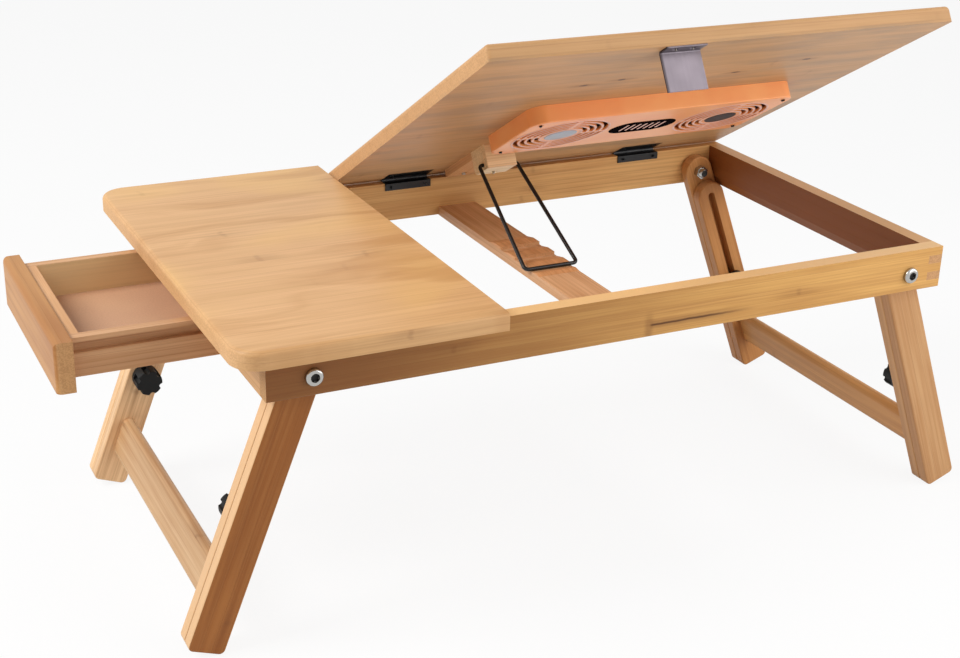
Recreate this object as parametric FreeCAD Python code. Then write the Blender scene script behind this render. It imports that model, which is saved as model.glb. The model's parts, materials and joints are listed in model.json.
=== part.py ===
import FreeCAD
import Part
import math
import os

from FreeCAD import Vector

# Folding bamboo laptop stand: a rail frame on two folding pairs of two-part legs,
# a fixed top with a drawer under it, and a tilting top that carries a fan unit and
# is propped by a wire bail on a notched rail.
# Millimetres. The pieces are drawn in a bench frame whose origin is the outer left
# corner of the near rail, on the rails' top faces: X along the length, Y from the
# near side to the far side, Z up. The last step moves the origin to the middle of
# the footprint, on the surface that the stand stands on.

# ------------------------------------------------ frame and tops
frame_length = 526.0
frame_depth = 306.0
rail_height = 32.0
rail_thickness = 12.0
finger_count = 2
board_thickness = 12.0
left_overhang = 24.0
side_overhang = 22.0
fixed_top_length = 179.0
top_gap = 2.0
top_corner_radius = 20.0
tilt_corner_radius = 3.0
top_edge_rounding = 3.5
rail_edge_rounding = 1.0

# ------------------------------------------------ tilting top and hinges
tilt_angle = 30.0
tilt_rest_gap = 0.3
hinge_inset = 3.0
hinge_length = 40.0
left_hinge_x = 221.0
right_hinge_x = 439.0
middle_knuckle_length = 15.2
knuckle_gap = 0.3
knuckle_radius = 2.5
hinge_pin_radius = 1.0
leaf_thickness = 1.2
leaf_reach = 20.0
tab_drop = 6.0
pocket_clearance = 0.4
leaf_screw_radius = 1.0
leaf_screw_head_radius = 2.0
leaf_screw_head_height = 0.9
leaf_screw_length = 8.0
leaf_screw_inset = 5.0
leaf_screw_reach = 14.0

# ------------------------------------------------ bail, its block and the notched rail
prop_x = 266.0
prop_rail_width = 34.0
bail_notch_y = 128.0
bail_bar_z = -23.2
notch_pitch = 24.5
notch_count = 3
tooth_height = 2.2
notch_width = 4.0
ramp_height = 0.9
ramp_reach = 7.0
ramp_foot = 6.0
bail_rest_gap = 0.2
bail_wire_radius = 1.5
bail_bend_radius = 3.2
bail_pivot_reach = 86.0
bail_pivot_depth = 15.0
bail_bar_width = 44.0
bail_pin_engagement = 9.0
bail_side_gap = 0.4
block_width = 25.0
block_depth = 19.0
block_margin = 8.0
block_length = 26.0
batten_thickness = 6.0
batten_start = 12.0
batten_screw_radius = 1.5
board_screw_bite = 8.0
batten_screw_head_radius = 3.0

# ------------------------------------------------ fan unit
case_left_x = 246.5
case_length = 227.5
case_reach = 110.0
case_width = 89.0
case_depth = 13.0
case_wall = 2.0
case_floor = 1.6
case_corner_radius = 12.0
case_edge_rounding = 1.0
fan_left_x = 288.5
fan_right_x = 431.0
grille_radius = 36.5
grille_hub_radius = 15.0
grille_slot_count = 4
grille_slot_width = 3.2
grille_bridge_width = 4.0
rotor_radius = 35.5
rotor_hub_radius = 14.0
rotor_height = 7.0
blade_count = 7
blade_thickness = 1.2
blade_pitch_angle = 35.0
motor_radius = 13.0
motor_height = 2.0
motor_shaft_radius = 1.5
clip_radius = 2.6
clip_height = 0.6
case_screw_radius = 1.2
case_screw_head_radius = 2.4
case_screw_inset = 8.0
socket_width = 8.0
socket_height = 5.0
socket_depth = 7.0
socket_wall = 0.6
vent_count = 7
vent_width = 3.6
vent_length = 52.0
vent_pitch = 9.0

# ------------------------------------------------ stop plate on the tilting top
stop_plate_left_x = 287.0
stop_plate_width = 31.5
stop_plate_thickness = 1.0
stop_plate_drop = 28.0
stop_plate_flange = 11.0
stop_plate_offset = 9.5
stop_plate_bend_radius = 1.5
stop_screw_radius = 1.2
stop_screw_head_radius = 2.2
stop_screw_length = 8.0
stop_screw_inset = 9.0
stop_screw_edge = 4.7

# ------------------------------------------------ drawer and its guides
drawer_opening = 100.5
drawer_width = 146.0
drawer_length = 146.0
drawer_height = 26.7
drawer_top_gap = 3.5
drawer_wall = 7.6
drawer_floor_thickness = 2.4
drawer_floor_rebate = 3.8
drawer_front_thickness = 12.0
drawer_front_width = 170.0
drawer_front_height = 34.4
drawer_front_top_gap = 0.8
drawer_front_rounding = 4.0
groove_drop = 3.2
groove_height = 7.2
groove_depth = 4.0
runner_gap = 0.35
guide_side_gap = 0.6
guide_web = 9.5
guide_length = 138.0
guide_foot = 2.0
apron_gap = 4.0

# ------------------------------------------------ legs
left_pivot_inset = 31.0
right_pivot_inset = 28.5
pivot_drop = 19.0
leg_lean = 21.0
leg_width = 26.0
leg_thickness = 9.8
leg_length = 204.5
foot_radius = 4.0
leg_edge_rounding = 1.2
leg_layer_gap = 0.2
slider_top = 10.0
slider_travel = 90.0
stud_station = 113.0
stud_radius = 3.0
stud_embed = 8.0
slot_side_gap = 0.25
slot_end_gap = 0.5
stretcher_width = 31.0
stretcher_thickness = 10.0
stretcher_station = 165.0
stretcher_screw_radius = 2.0
stretcher_screw_head_radius = 3.6
stretcher_screw_length = 34.0
stop_gap = 0.3

# ------------------------------------------------ pivot bolts and knobs
pivot_bolt_radius = 3.0
pivot_head_radius = 6.0
pivot_head_height = 3.4
pivot_head_rounding = 2.0
pivot_socket_size = 5.6
pivot_socket_depth = 2.2
washer_radius = 8.0
washer_thickness = 1.4
nut_width = 10.0
nut_height = 5.0
nut_gap = 0.1
nut_cap_radius = 4.4
knob_radius = 10.0
knob_length = 16.0
knob_collar = 5.5
knob_lobes = 6
knob_lobe_radius = 2.2
knob_bore_depth = 12.0
knob_gap = 0.3
knob_rounding = 1.2

# ------------------------------------------------ fits
running_clearance = 0.05
wood_clearance = 0.1

# ------------------------------------------------ derived places
overlap = 1.0
near_inner_y = rail_thickness
far_inner_y = frame_depth - rail_thickness
mid_y = frame_depth / 2
right_inner_x = frame_length - rail_thickness
pivot_z = -pivot_drop
left_pivot_x = left_pivot_inset
right_pivot_x = frame_length - right_pivot_inset
tilt_left_x = fixed_top_length - left_overhang + top_gap
hinge_y = frame_depth - hinge_inset
hinge_z = tilt_rest_gap / 2
underside_z = tilt_rest_gap
X_AXIS = Vector(1, 0, 0)
Y_AXIS = Vector(0, 1, 0)
Z_AXIS = Vector(0, 0, 1)


# ------------------------------------------------ helpers
def box(x0, x1, y0, y1, z0, z1):
    """A box between two corners."""
    return Part.makeBox(x1 - x0, y1 - y0, z1 - z0, Vector(x0, y0, z0))


def rod(radius, start, end):
    """A round bar from one point to another."""
    along = end - start
    return Part.makeCylinder(radius, along.Length, start, along)


def cone(radius_start, radius_end, start, end):
    """A round taper from one point to another."""
    along = end - start
    return Part.makeCone(radius_start, radius_end, along.Length, start, along)


def joined(shapes):
    """One solid out of touching or overlapping shapes."""
    whole = shapes[0]
    if len(shapes) > 1:
        whole = whole.fuse(shapes[1:])
    return whole.removeSplitter()


def rounded(shape, radius, keep):
    """Rounds the edges that keep(edge) accepts."""
    edges = [edge for edge in shape.Edges if keep(edge)]
    return shape.makeFillet(radius, edges)


def is_vertical(edge):
    """True on a straight edge along Z."""
    box_of_edge = edge.BoundBox
    return box_of_edge.XLength < 1e-6 and box_of_edge.YLength < 1e-6


def at_height(z):
    """A test for edges that lie wholly at height z."""
    return lambda edge: abs(edge.BoundBox.ZMin - z) < 1e-6 and abs(edge.BoundBox.ZMax - z) < 1e-6


def along_x(edge):
    """True on a straight edge along X."""
    box_of_edge = edge.BoundBox
    return box_of_edge.YLength < 1e-6 and box_of_edge.ZLength < 1e-6


def along_y(edge):
    """True on a straight edge along Y."""
    box_of_edge = edge.BoundBox
    return box_of_edge.XLength < 1e-6 and box_of_edge.ZLength < 1e-6


def across_y(edge):
    """True on an edge that lies in a plane square to Y."""
    return edge.BoundBox.YLength < 1e-6


def mirrored_far(shape):
    """The same piece on the far side of the stand."""
    return shape.mirror(Vector(0, mid_y, 0), Y_AXIS)


def bent_path(points, bend_radius):
    """A wire of straight runs joined by tangent arcs."""
    edges = []
    last = points[0]
    for before, corner, after in zip(points, points[1:], points[2:]):
        back = (before - corner).normalize()
        ahead = (after - corner).normalize()
        half_angle = back.getAngle(ahead) / 2
        reach = bend_radius / math.tan(half_angle)
        arc_start = corner + back * reach
        arc_end = corner + ahead * reach
        middle_way = (back + ahead).normalize()
        arc_middle = corner + middle_way * (bend_radius / math.sin(half_angle) - bend_radius)
        edges.append(Part.makeLine(last, arc_start))
        edges.append(Part.Arc(arc_start, arc_middle, arc_end).toShape())
        last = arc_end
    edges.append(Part.makeLine(last, points[-1]))
    return Part.Wire(edges)


def wood_screw(radius, head_radius, length, tip_way, head_face):
    """A countersunk screw: its head lies flush at head_face and its tip points along tip_way."""
    head_height = head_radius - radius
    neck = head_face + tip_way * head_height
    head = cone(head_radius, radius, head_face, neck)
    shank = rod(radius, neck, head_face + tip_way * length)
    return joined([head, shank])


pieces = {}


def keep(name, *shapes):
    """Files the solids of one node under its name."""
    pieces.setdefault(name, []).extend(shapes)


# ------------------------------------------------ frame rails
finger_height = rail_height / (2 * finger_count + 1)


def fingers():
    """The tenons of the right rail that show on the near and far rails."""
    tenons = []
    for index in range(finger_count):
        top = -finger_height * (2 * index + 1)
        bottom = top - finger_height
        for y0, y1 in ((0, near_inner_y), (far_inner_y, frame_depth)):
            tenons.append(box(right_inner_x, frame_length, y0, y1, bottom, top))
    return tenons


lean_angle = math.radians(leg_lean)
lean_slope = math.tan(lean_angle)
leg_edge_at_rail_foot = (rail_height - pivot_drop) * lean_slope + leg_width / 2 / math.cos(lean_angle)


def stop_bevel_depth(pivot_inset):
    """How far the leaning leg would reach into the end rail at the rail's lower edge."""
    return leg_edge_at_rail_foot + stop_gap - (pivot_inset - rail_thickness)


def long_rail(y0, y1):
    """A side rail with its lower edges eased."""
    rail = box(0, frame_length, y0, y1, -rail_height, 0)
    rail = rounded(rail, rail_edge_rounding, lambda edge: along_x(edge) and edge.BoundBox.ZMax < -overlap)
    return rail.cut(fingers())


def pivot_bores(y0, y1, radius):
    """The two pivot bolts' bores through a side rail."""
    bores = []
    for x in (left_pivot_x, right_pivot_x):
        bores.append(rod(radius, Vector(x, y0, pivot_z), Vector(x, y1, pivot_z)))
    return bores


def end_board(outer_x, inner_x, y0, y1, pivot_inset):
    """A cross board whose lower inner edge is bevelled where the leaning leg would reach it."""
    board = box(min(outer_x, inner_x), max(outer_x, inner_x), y0, y1, -rail_height, 0)
    depth = stop_bevel_depth(pivot_inset)
    if depth > 0:
        way = 1 if outer_x > inner_x else -1
        height = depth / lean_slope
        corner = Vector(inner_x, y0, -rail_height)
        wedge_points = [corner, corner + Vector(way * depth, 0, 0), corner + Vector(0, 0, height), corner]
        wedge = Part.Face(Part.makePolygon(wedge_points)).extrude(Vector(0, y1 - y0, 0))
        board = board.cut(wedge)
    return board


near_rail = long_rail(0, near_inner_y)
near_rail = near_rail.cut(pivot_bores(-overlap, near_inner_y + overlap, pivot_bolt_radius))
far_rail = long_rail(far_inner_y, frame_depth)
far_rail = far_rail.cut(pivot_bores(far_inner_y - overlap, frame_depth + overlap, pivot_bolt_radius))

right_rail = end_board(frame_length, right_inner_x, near_inner_y, far_inner_y, right_pivot_inset)
right_rail = joined([right_rail] + fingers())
keep("right_rail", right_rail)

drawer_near_y = mid_y - drawer_width / 2
drawer_far_y = mid_y + drawer_width / 2
apron_end_y = drawer_near_y - apron_gap
near_apron = end_board(0, rail_thickness, near_inner_y, apron_end_y, left_pivot_inset)
keep("near_apron", near_apron)
keep("far_apron", mirrored_far(near_apron))

# ------------------------------------------------ fixed top
fixed_top_right_x = fixed_top_length - left_overhang
tops_near_y = -side_overhang
fixed_top_far_y = frame_depth + side_overhang
fixed_top = box(-left_overhang, fixed_top_right_x, tops_near_y, fixed_top_far_y, 0, board_thickness)
fixed_top = rounded(fixed_top, top_corner_radius, lambda edge: is_vertical(edge) and edge.BoundBox.XMax < 0)
fixed_top = rounded(
    fixed_top,
    top_edge_rounding,
    lambda edge: at_height(board_thickness)(edge) and edge.BoundBox.XMin < fixed_top_right_x - overlap,
)
keep("fixed_top", fixed_top)


# ------------------------------------------------ hinges
def hinge_spans(centre_x):
    """The hinge's two ends and the two edges of its middle knuckle."""
    return (
        centre_x - hinge_length / 2,
        centre_x - middle_knuckle_length / 2,
        centre_x + middle_knuckle_length / 2,
        centre_x + hinge_length / 2,
    )


def knuckle(x0, x1, radius=knuckle_radius):
    """A stretch of round barrel on the hinge line."""
    return rod(radius, Vector(x0, hinge_y, hinge_z), Vector(x1, hinge_y, hinge_z))


def barrel_room(x0, x1):
    """The space that a knuckle needs in a leaf beside it."""
    reach = knuckle_radius + pocket_clearance
    return box(x0, x1, hinge_y - reach, hinge_y + reach, hinge_z - reach, hinge_z + reach)


def rail_leaf(centre_x):
    """The leaf let into the rail's top, bent down over its inner face, with the outer knuckles."""
    x0, x1, x2, x3 = hinge_spans(centre_x)
    plate = box(x0, x3, far_inner_y, hinge_y, -leaf_thickness, 0)
    plate = plate.cut(barrel_room(x1 - knuckle_gap, x2 + knuckle_gap))
    tab = box(x0, x3, far_inner_y - leaf_thickness, far_inner_y, -tab_drop, 0)
    tab_rounding = leaf_thickness / 2
    tab_middle_y = far_inner_y - tab_rounding
    tab = rounded(tab, tab_rounding, lambda edge: along_x(edge) and edge.BoundBox.YMax < tab_middle_y)
    outer = [knuckle(x0, x1 - knuckle_gap), knuckle(x2 + knuckle_gap, x3)]
    leaf = joined([plate, tab] + outer)
    return leaf.cut(knuckle(x0 - overlap, x3 + overlap, hinge_pin_radius))


def top_leaf(centre_x):
    """The leaf let into the tilting top's underside, with the middle knuckle."""
    x0, x1, x2, x3 = hinge_spans(centre_x)
    plate = box(x0, x3, hinge_y - leaf_reach, hinge_y, underside_z, underside_z + leaf_thickness)
    plate = plate.cut([barrel_room(x0 - overlap, x1), barrel_room(x2, x3 + overlap)])
    leaf = joined([plate, knuckle(x1, x2)])
    return leaf.cut(knuckle(x0 - overlap, x3 + overlap, hinge_pin_radius + running_clearance))


def tab_screw(x):
    """A pan-head screw through the bent-down tab into the rail's inner face."""
    z = -tab_drop / 2
    face_y = far_inner_y - leaf_thickness
    head = rod(leaf_screw_head_radius, Vector(x, face_y - leaf_screw_head_height, z), Vector(x, face_y, z))
    shank = rod(leaf_screw_radius, Vector(x, face_y, z), Vector(x, face_y + leaf_screw_length, z))
    return joined([head, shank])


def leaf_screw(x):
    """A countersunk screw through the upper leaf into the tilting top."""
    place = Vector(x, hinge_y - leaf_screw_reach, underside_z)
    return wood_screw(leaf_screw_radius, leaf_screw_head_radius, leaf_screw_length, Z_AXIS, place)


hinge_centres = (left_hinge_x, right_hinge_x)
screw_offset = hinge_length / 2 - leaf_screw_inset
rail_pockets = []
top_pockets = []
top_leaves = []
top_leaf_screws = []
for centre_x in hinge_centres:
    left, _, _, right = hinge_spans(centre_x)
    pocket_x = (left - wood_clearance, right + wood_clearance)
    barrel_reach = knuckle_radius + pocket_clearance
    barrel_y = hinge_y - barrel_reach
    leaf_y = hinge_y - leaf_reach - wood_clearance
    rail_pockets.append(box(*pocket_x, barrel_y, frame_depth + overlap, hinge_z - barrel_reach, overlap))
    rail_pockets.append(box(*pocket_x, far_inner_y - overlap, hinge_y, -leaf_thickness, overlap))
    top_pockets.append(box(*pocket_x, barrel_y, hinge_y + overlap, -overlap, hinge_z + barrel_reach))
    top_pockets.append(box(*pocket_x, leaf_y, hinge_y + overlap, -overlap, underside_z + leaf_thickness))
    tab_screws = [tab_screw(centre_x + side * screw_offset) for side in (-1, 1)]
    leaf_screws = [leaf_screw(centre_x + side * screw_offset) for side in (-1, 1)]
    rail_pockets.extend(tab_screws)
    top_pockets.extend(leaf_screws)
    keep("hinge_rail_leaves", rail_leaf(centre_x).cut(tab_screws))
    keep("hinge_pins", knuckle(left, right, hinge_pin_radius))
    keep("hinge_tab_screws", *tab_screws)
    top_leaves.append(top_leaf(centre_x).cut(leaf_screws))
    top_leaf_screws.extend(leaf_screws)

far_rail = far_rail.cut(rail_pockets)
keep("near_rail", near_rail)
keep("far_rail", far_rail)

# ------------------------------------------------ notched rail: a slat with ridges on it
bar_foot_z = bail_bar_z - bail_wire_radius
slat_top_z = bar_foot_z - bail_rest_gap
tooth_top_z = slat_top_z + tooth_height
prop_left_x = prop_x - prop_rail_width / 2
prop_right_x = prop_x + prop_rail_width / 2
half_notch = notch_width / 2


def slat_ridge(profile):
    """A ridge across the slat, from its outline as (y, z) points."""
    corners = [Vector(prop_left_x, y, z) for y, z in profile + profile[:1]]
    return Part.Face(Part.makePolygon(corners)).extrude(Vector(prop_rail_width, 0, 0))


def tooth(notch_y):
    """The tooth behind a notch: upright towards the crossbar, sloping on its far side."""
    return slat_ridge([
        (notch_y + half_notch, slat_top_z),
        (notch_y + half_notch, tooth_top_z),
        (notch_y + notch_pitch / 2, tooth_top_z),
        (notch_y + notch_pitch - half_notch, slat_top_z),
    ])


near_ramp = slat_ridge([
    (bail_notch_y - ramp_reach - ramp_foot, slat_top_z),
    (bail_notch_y - ramp_reach, slat_top_z + ramp_height),
    (bail_notch_y - half_notch, slat_top_z),
])
teeth = [tooth(bail_notch_y + index * notch_pitch) for index in range(notch_count)]
keep("notched_rail", box(prop_left_x, prop_right_x, near_inner_y, far_inner_y, -rail_height, slat_top_z))
keep("rail_ridges", near_ramp, *teeth)

# ------------------------------------------------ tilting top, drawn closed
tilt_pieces = {}


def keep_on_top(name, *shapes):
    """Files pieces that ride on the tilting top, drawn with the top closed."""
    tilt_pieces.setdefault(name, []).extend(shapes)


def reach_y(reach):
    """The closed place of a point that far from the hinge line."""
    return hinge_y - reach


top_upper_z = underside_z + board_thickness
tilt_top = box(tilt_left_x, frame_length, tops_near_y, hinge_y, underside_z, top_upper_z)
tilt_top = rounded(tilt_top, tilt_corner_radius, lambda edge: is_vertical(edge) and edge.BoundBox.YMax < 0)


def shows_at_top(edge):
    """True on the tilting top's upper edges, but for those beside the fixed top and at the hinges."""
    reaches_right = edge.BoundBox.XMax > tilt_left_x + overlap
    reaches_near = edge.BoundBox.YMin < hinge_y - overlap
    return at_height(top_upper_z)(edge) and reaches_right and reaches_near


tilt_top = rounded(tilt_top, top_edge_rounding, shows_at_top)
tilt_top = tilt_top.cut(top_pockets)
keep_on_top("hinge_top_leaves", *top_leaves)
keep_on_top("hinge_top_screws", *top_leaf_screws)

# ------------------------------------------------ fan unit
case_far_y = reach_y(case_reach)
case_near_y = case_far_y - case_width
case_right_x = case_left_x + case_length
case_bottom_z = underside_z - case_depth
floor_top_z = case_bottom_z + case_floor
fan_y = (case_near_y + case_far_y) / 2
fan_centres = {"left": Vector(fan_left_x, fan_y, 0), "right": Vector(fan_right_x, fan_y, 0)}


def vent_slot(centre, offset):
    """A round-ended slot through the tilting top, over a fan."""
    x = centre.x + offset
    half_width = vent_width / 2
    half_run = vent_length / 2 - half_width
    low_y = centre.y - half_run
    high_y = centre.y + half_run
    through_z = top_upper_z + overlap
    slot = box(x - half_width, x + half_width, low_y, high_y, 0, through_z)
    ends = [rod(half_width, Vector(x, y, 0), Vector(x, y, through_z)) for y in (low_y, high_y)]
    return joined([slot] + ends)


def grille_slots(centre):
    """Rings of slots in the case's floor, broken by four bridges."""
    slot_pitch = (grille_radius - grille_hub_radius) / grille_slot_count
    low = Vector(centre.x, centre.y, case_bottom_z - overlap)
    high = Vector(centre.x, centre.y, floor_top_z + overlap)
    rings = []
    for index in range(grille_slot_count):
        outer_radius = grille_hub_radius + (index + 1) * slot_pitch
        rings.append(rod(outer_radius, low, high).cut(rod(outer_radius - grille_slot_width, low, high)))
    half = grille_bridge_width / 2
    reach = grille_radius + overlap
    bridges = [
        box(centre.x - reach, centre.x + reach, centre.y - half, centre.y + half, low.z, high.z),
        box(centre.x - half, centre.x + half, centre.y - reach, centre.y + reach, low.z, high.z),
    ]
    return [ring.cut(bridges) for ring in rings]


def case_block(inset, foot_z, top_z):
    """The case's plan, drawn in by that inset, as a solid with rounded corners."""
    block = box(
        case_left_x + inset, case_right_x - inset,
        case_near_y + inset, case_far_y - inset, foot_z, top_z,
    )
    return rounded(block, case_corner_radius - inset, is_vertical)


case = rounded(case_block(0, case_bottom_z, underside_z), case_edge_rounding, at_height(case_bottom_z))
case = case.cut(case_block(case_wall, floor_top_z, underside_z + overlap))

socket_y = fan_y
socket_mid_z = (floor_top_z + underside_z) / 2
socket_outer = box(
    case_right_x - socket_depth, case_right_x,
    socket_y - socket_width / 2, socket_y + socket_width / 2,
    socket_mid_z - socket_height / 2, socket_mid_z + socket_height / 2,
)
socket_inner = box(
    case_right_x - socket_depth + socket_wall, case_right_x + overlap,
    socket_y - socket_width / 2 + socket_wall, socket_y + socket_width / 2 - socket_wall,
    socket_mid_z - socket_height / 2 + socket_wall, socket_mid_z + socket_height / 2 - socket_wall,
)
case = case.cut(socket_outer)
keep_on_top("power_socket", socket_outer.cut(socket_inner))

case_screws = []
for screw_x in (case_left_x + case_screw_inset, case_right_x - case_screw_inset):
    for screw_y in (case_near_y + case_screw_inset, case_far_y - case_screw_inset):
        post_top = Vector(screw_x, screw_y, underside_z)
        post = rod(case_screw_head_radius + case_wall / 2, Vector(screw_x, screw_y, floor_top_z), post_top)
        case = joined([case, post])
        place = Vector(screw_x, screw_y, case_bottom_z)
        length = case_depth + board_screw_bite
        case_screws.append(wood_screw(case_screw_radius, case_screw_head_radius, length, Z_AXIS, place))
for centre in fan_centres.values():
    case = case.cut(grille_slots(centre))
case = case.cut(case_screws)
keep_on_top("fan_case", case)
keep_on_top("fan_case_screws", *case_screws)

vent_middle = (vent_count - 1) / 2
vents = []
for centre in fan_centres.values():
    for index in range(vent_count):
        vents.append(vent_slot(centre, (index - vent_middle) * vent_pitch))
tilt_top = tilt_top.cut(vents + case_screws)

motor_top_z = floor_top_z + motor_height
rotor_bottom_z = motor_top_z + tilt_rest_gap
rotor_top_z = rotor_bottom_z + rotor_height
clip_bottom_z = rotor_top_z + tilt_rest_gap / 2


def fan_motor(centre):
    """The motor's disc on the case's floor, with its shaft."""
    low = Vector(centre.x, centre.y, floor_top_z)
    disc = rod(motor_radius, low, Vector(centre.x, centre.y, motor_top_z))
    shaft = rod(motor_shaft_radius, low, Vector(centre.x, centre.y, clip_bottom_z + clip_height))
    return joined([disc, shaft])


def fan_clip(centre):
    """The ring that keeps the rotor on its shaft."""
    low = Vector(centre.x, centre.y, clip_bottom_z)
    high = Vector(centre.x, centre.y, clip_bottom_z + clip_height)
    return rod(clip_radius, low, high).cut(rod(motor_shaft_radius, low, high))


def fan_rotor(centre):
    """A hub with pitched blades, bored for the motor's shaft."""
    low = Vector(centre.x, centre.y, rotor_bottom_z)
    high = Vector(centre.x, centre.y, rotor_top_z)
    mid_z = (rotor_bottom_z + rotor_top_z) / 2
    half = blade_thickness / 2
    blade = box(rotor_hub_radius - overlap, rotor_radius, -half, half, -rotor_height, rotor_height)
    blade.rotate(Vector(0, 0, 0), X_AXIS, blade_pitch_angle)
    blade.translate(Vector(centre.x, centre.y, mid_z))
    blades = []
    for index in range(blade_count):
        turned = blade.copy()
        turned.rotate(Vector(centre.x, centre.y, mid_z), Z_AXIS, 360 / blade_count * index)
        blades.append(turned)
    hub = rod(rotor_hub_radius, low, high)
    envelope = rod(rotor_radius, low, high)
    rotor = joined([hub] + [turned.common(envelope) for turned in blades])
    return rotor.cut(rod(motor_shaft_radius + running_clearance, low, high))


for side, centre in fan_centres.items():
    keep_on_top("fan_motors", fan_motor(centre))
    keep_on_top("fan_clips", fan_clip(centre))
    keep_on_top(side + "_fan_rotor", fan_rotor(centre))

# ------------------------------------------------ bail block and batten
block_left_x = prop_x - block_width / 2
block_right_x = prop_x + block_width / 2
bail_pivot_y = reach_y(bail_pivot_reach)
bail_pivot_z = underside_z - bail_pivot_depth
block_near_y = bail_pivot_y - block_margin
block_far_y = block_near_y + block_length
block = box(block_left_x, block_right_x, block_near_y, block_far_y, underside_z - block_depth, underside_z)


def is_block_heel(edge):
    """True on the block's lower edge towards the hinges."""
    return along_x(edge) and edge.BoundBox.ZMax < bail_pivot_z and edge.BoundBox.YMin > bail_pivot_y


block = rounded(block, top_edge_rounding, is_block_heel)
bail_bore = rod(
    bail_wire_radius + running_clearance,
    Vector(block_left_x - overlap, bail_pivot_y, bail_pivot_z),
    Vector(block_right_x + overlap, bail_pivot_y, bail_pivot_z),
)
block = block.cut(bail_bore)
batten_far_y = reach_y(batten_start)
batten_foot_z = underside_z - batten_thickness
batten = box(block_left_x, block_right_x, block_far_y, batten_far_y, batten_foot_z, underside_z)


def batten_screw(y, thickness):
    """A screw up through the batten or the block into the tilting top."""
    place = Vector(prop_x, y, underside_z - thickness)
    length = thickness + board_screw_bite
    return wood_screw(batten_screw_radius, batten_screw_head_radius, length, Z_AXIS, place)


batten_screws = [
    batten_screw(block_far_y - block_margin, block_depth),
    batten_screw(block_far_y + block_margin, batten_thickness),
    batten_screw(batten_far_y - block_margin, batten_thickness),
]
keep_on_top("bail_block", block.cut(batten_screws))
keep_on_top("batten", batten.cut(batten_screws))
keep_on_top("batten_screws", *batten_screws)
tilt_top = tilt_top.cut(batten_screws)

# ------------------------------------------------ stop plate
plate_y = -stop_plate_offset
plate_right_x = stop_plate_left_x + stop_plate_width
flange_end_y = plate_y - stop_plate_flange
plate_foot_z = underside_z - stop_plate_drop
sheet_y = plate_y - stop_plate_thickness / 2
sheet_z = underside_z - stop_plate_thickness / 2
flange_foot_z = underside_z - stop_plate_thickness
plate_profile = bent_path(
    [
        Vector(stop_plate_left_x, flange_end_y, sheet_z),
        Vector(stop_plate_left_x, sheet_y, sheet_z),
        Vector(stop_plate_left_x, sheet_y, plate_foot_z),
    ],
    stop_plate_bend_radius,
)
strip_end = Part.makePolygon([
    Vector(stop_plate_left_x, flange_end_y, underside_z),
    Vector(stop_plate_left_x, flange_end_y, flange_foot_z),
    Vector(plate_right_x, flange_end_y, flange_foot_z),
    Vector(plate_right_x, flange_end_y, underside_z),
    Vector(stop_plate_left_x, flange_end_y, underside_z),
])
stop_plate = plate_profile.makePipeShell([strip_end], True, False)
stop_screw_y = flange_end_y + stop_screw_edge
stop_screws = []
for screw_x in (stop_plate_left_x + stop_screw_inset, plate_right_x - stop_screw_inset):
    stop_screws.append(wood_screw(
        stop_screw_radius, stop_screw_head_radius, stop_screw_length,
        Z_AXIS, Vector(screw_x, stop_screw_y, flange_foot_z),
    ))
keep_on_top("stop_plate", stop_plate.cut(stop_screws))
keep_on_top("stop_plate_screws", *stop_screws)
tilt_top = tilt_top.cut(stop_screws)
keep_on_top("tilting_top", tilt_top)

# ------------------------------------------------ raise the top to its rest angle
hinge_point = Vector(0, hinge_y, hinge_z)
for name, shapes in tilt_pieces.items():
    for shape in shapes:
        shape.rotate(hinge_point, X_AXIS, -tilt_angle)
    keep(name, *shapes)


def raised(point):
    """Where a point of the closed top lies when the top is at its rest angle."""
    return FreeCAD.Rotation(X_AXIS, -tilt_angle).multVec(point - hinge_point) + hinge_point


# ------------------------------------------------ bail
bail_pivot = raised(Vector(prop_x, bail_pivot_y, bail_pivot_z))
bail_bar = Vector(prop_x, bail_notch_y, bail_bar_z)
bail_length = (bail_bar - bail_pivot).Length
bail_dip = math.degrees(math.atan2(bail_pivot.z - bail_bar.z, bail_pivot.y - bail_bar.y))
bail_top_half = block_width / 2 + bail_side_gap + bail_bend_radius
bail_bar_half = bail_bar_width / 2
pin_end = block_width / 2 - bail_pin_engagement
bail_path = bent_path(
    [
        Vector(-pin_end, 0, 0),
        Vector(-bail_top_half, 0, 0),
        Vector(-bail_bar_half, -bail_length, 0),
        Vector(bail_bar_half, -bail_length, 0),
        Vector(bail_top_half, 0, 0),
        Vector(pin_end, 0, 0),
    ],
    bail_bend_radius,
)
wire_section = Part.Wire(Part.makeCircle(bail_wire_radius, Vector(-pin_end, 0, 0), X_AXIS))
bail = bail_path.makePipeShell([wire_section], True, False)
bail.rotate(Vector(0, 0, 0), X_AXIS, bail_dip)
bail.translate(bail_pivot)
keep("bail", bail)

# ------------------------------------------------ drawer, drawn closed
box_front_x = -wood_clearance
box_back_x = box_front_x + drawer_length
drawer_top_z = -drawer_top_gap
drawer_foot_z = drawer_top_z - drawer_height
groove_top_z = drawer_top_z - groove_drop
groove_foot_z = groove_top_z - groove_height
floor_z = drawer_foot_z + drawer_floor_thickness

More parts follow.
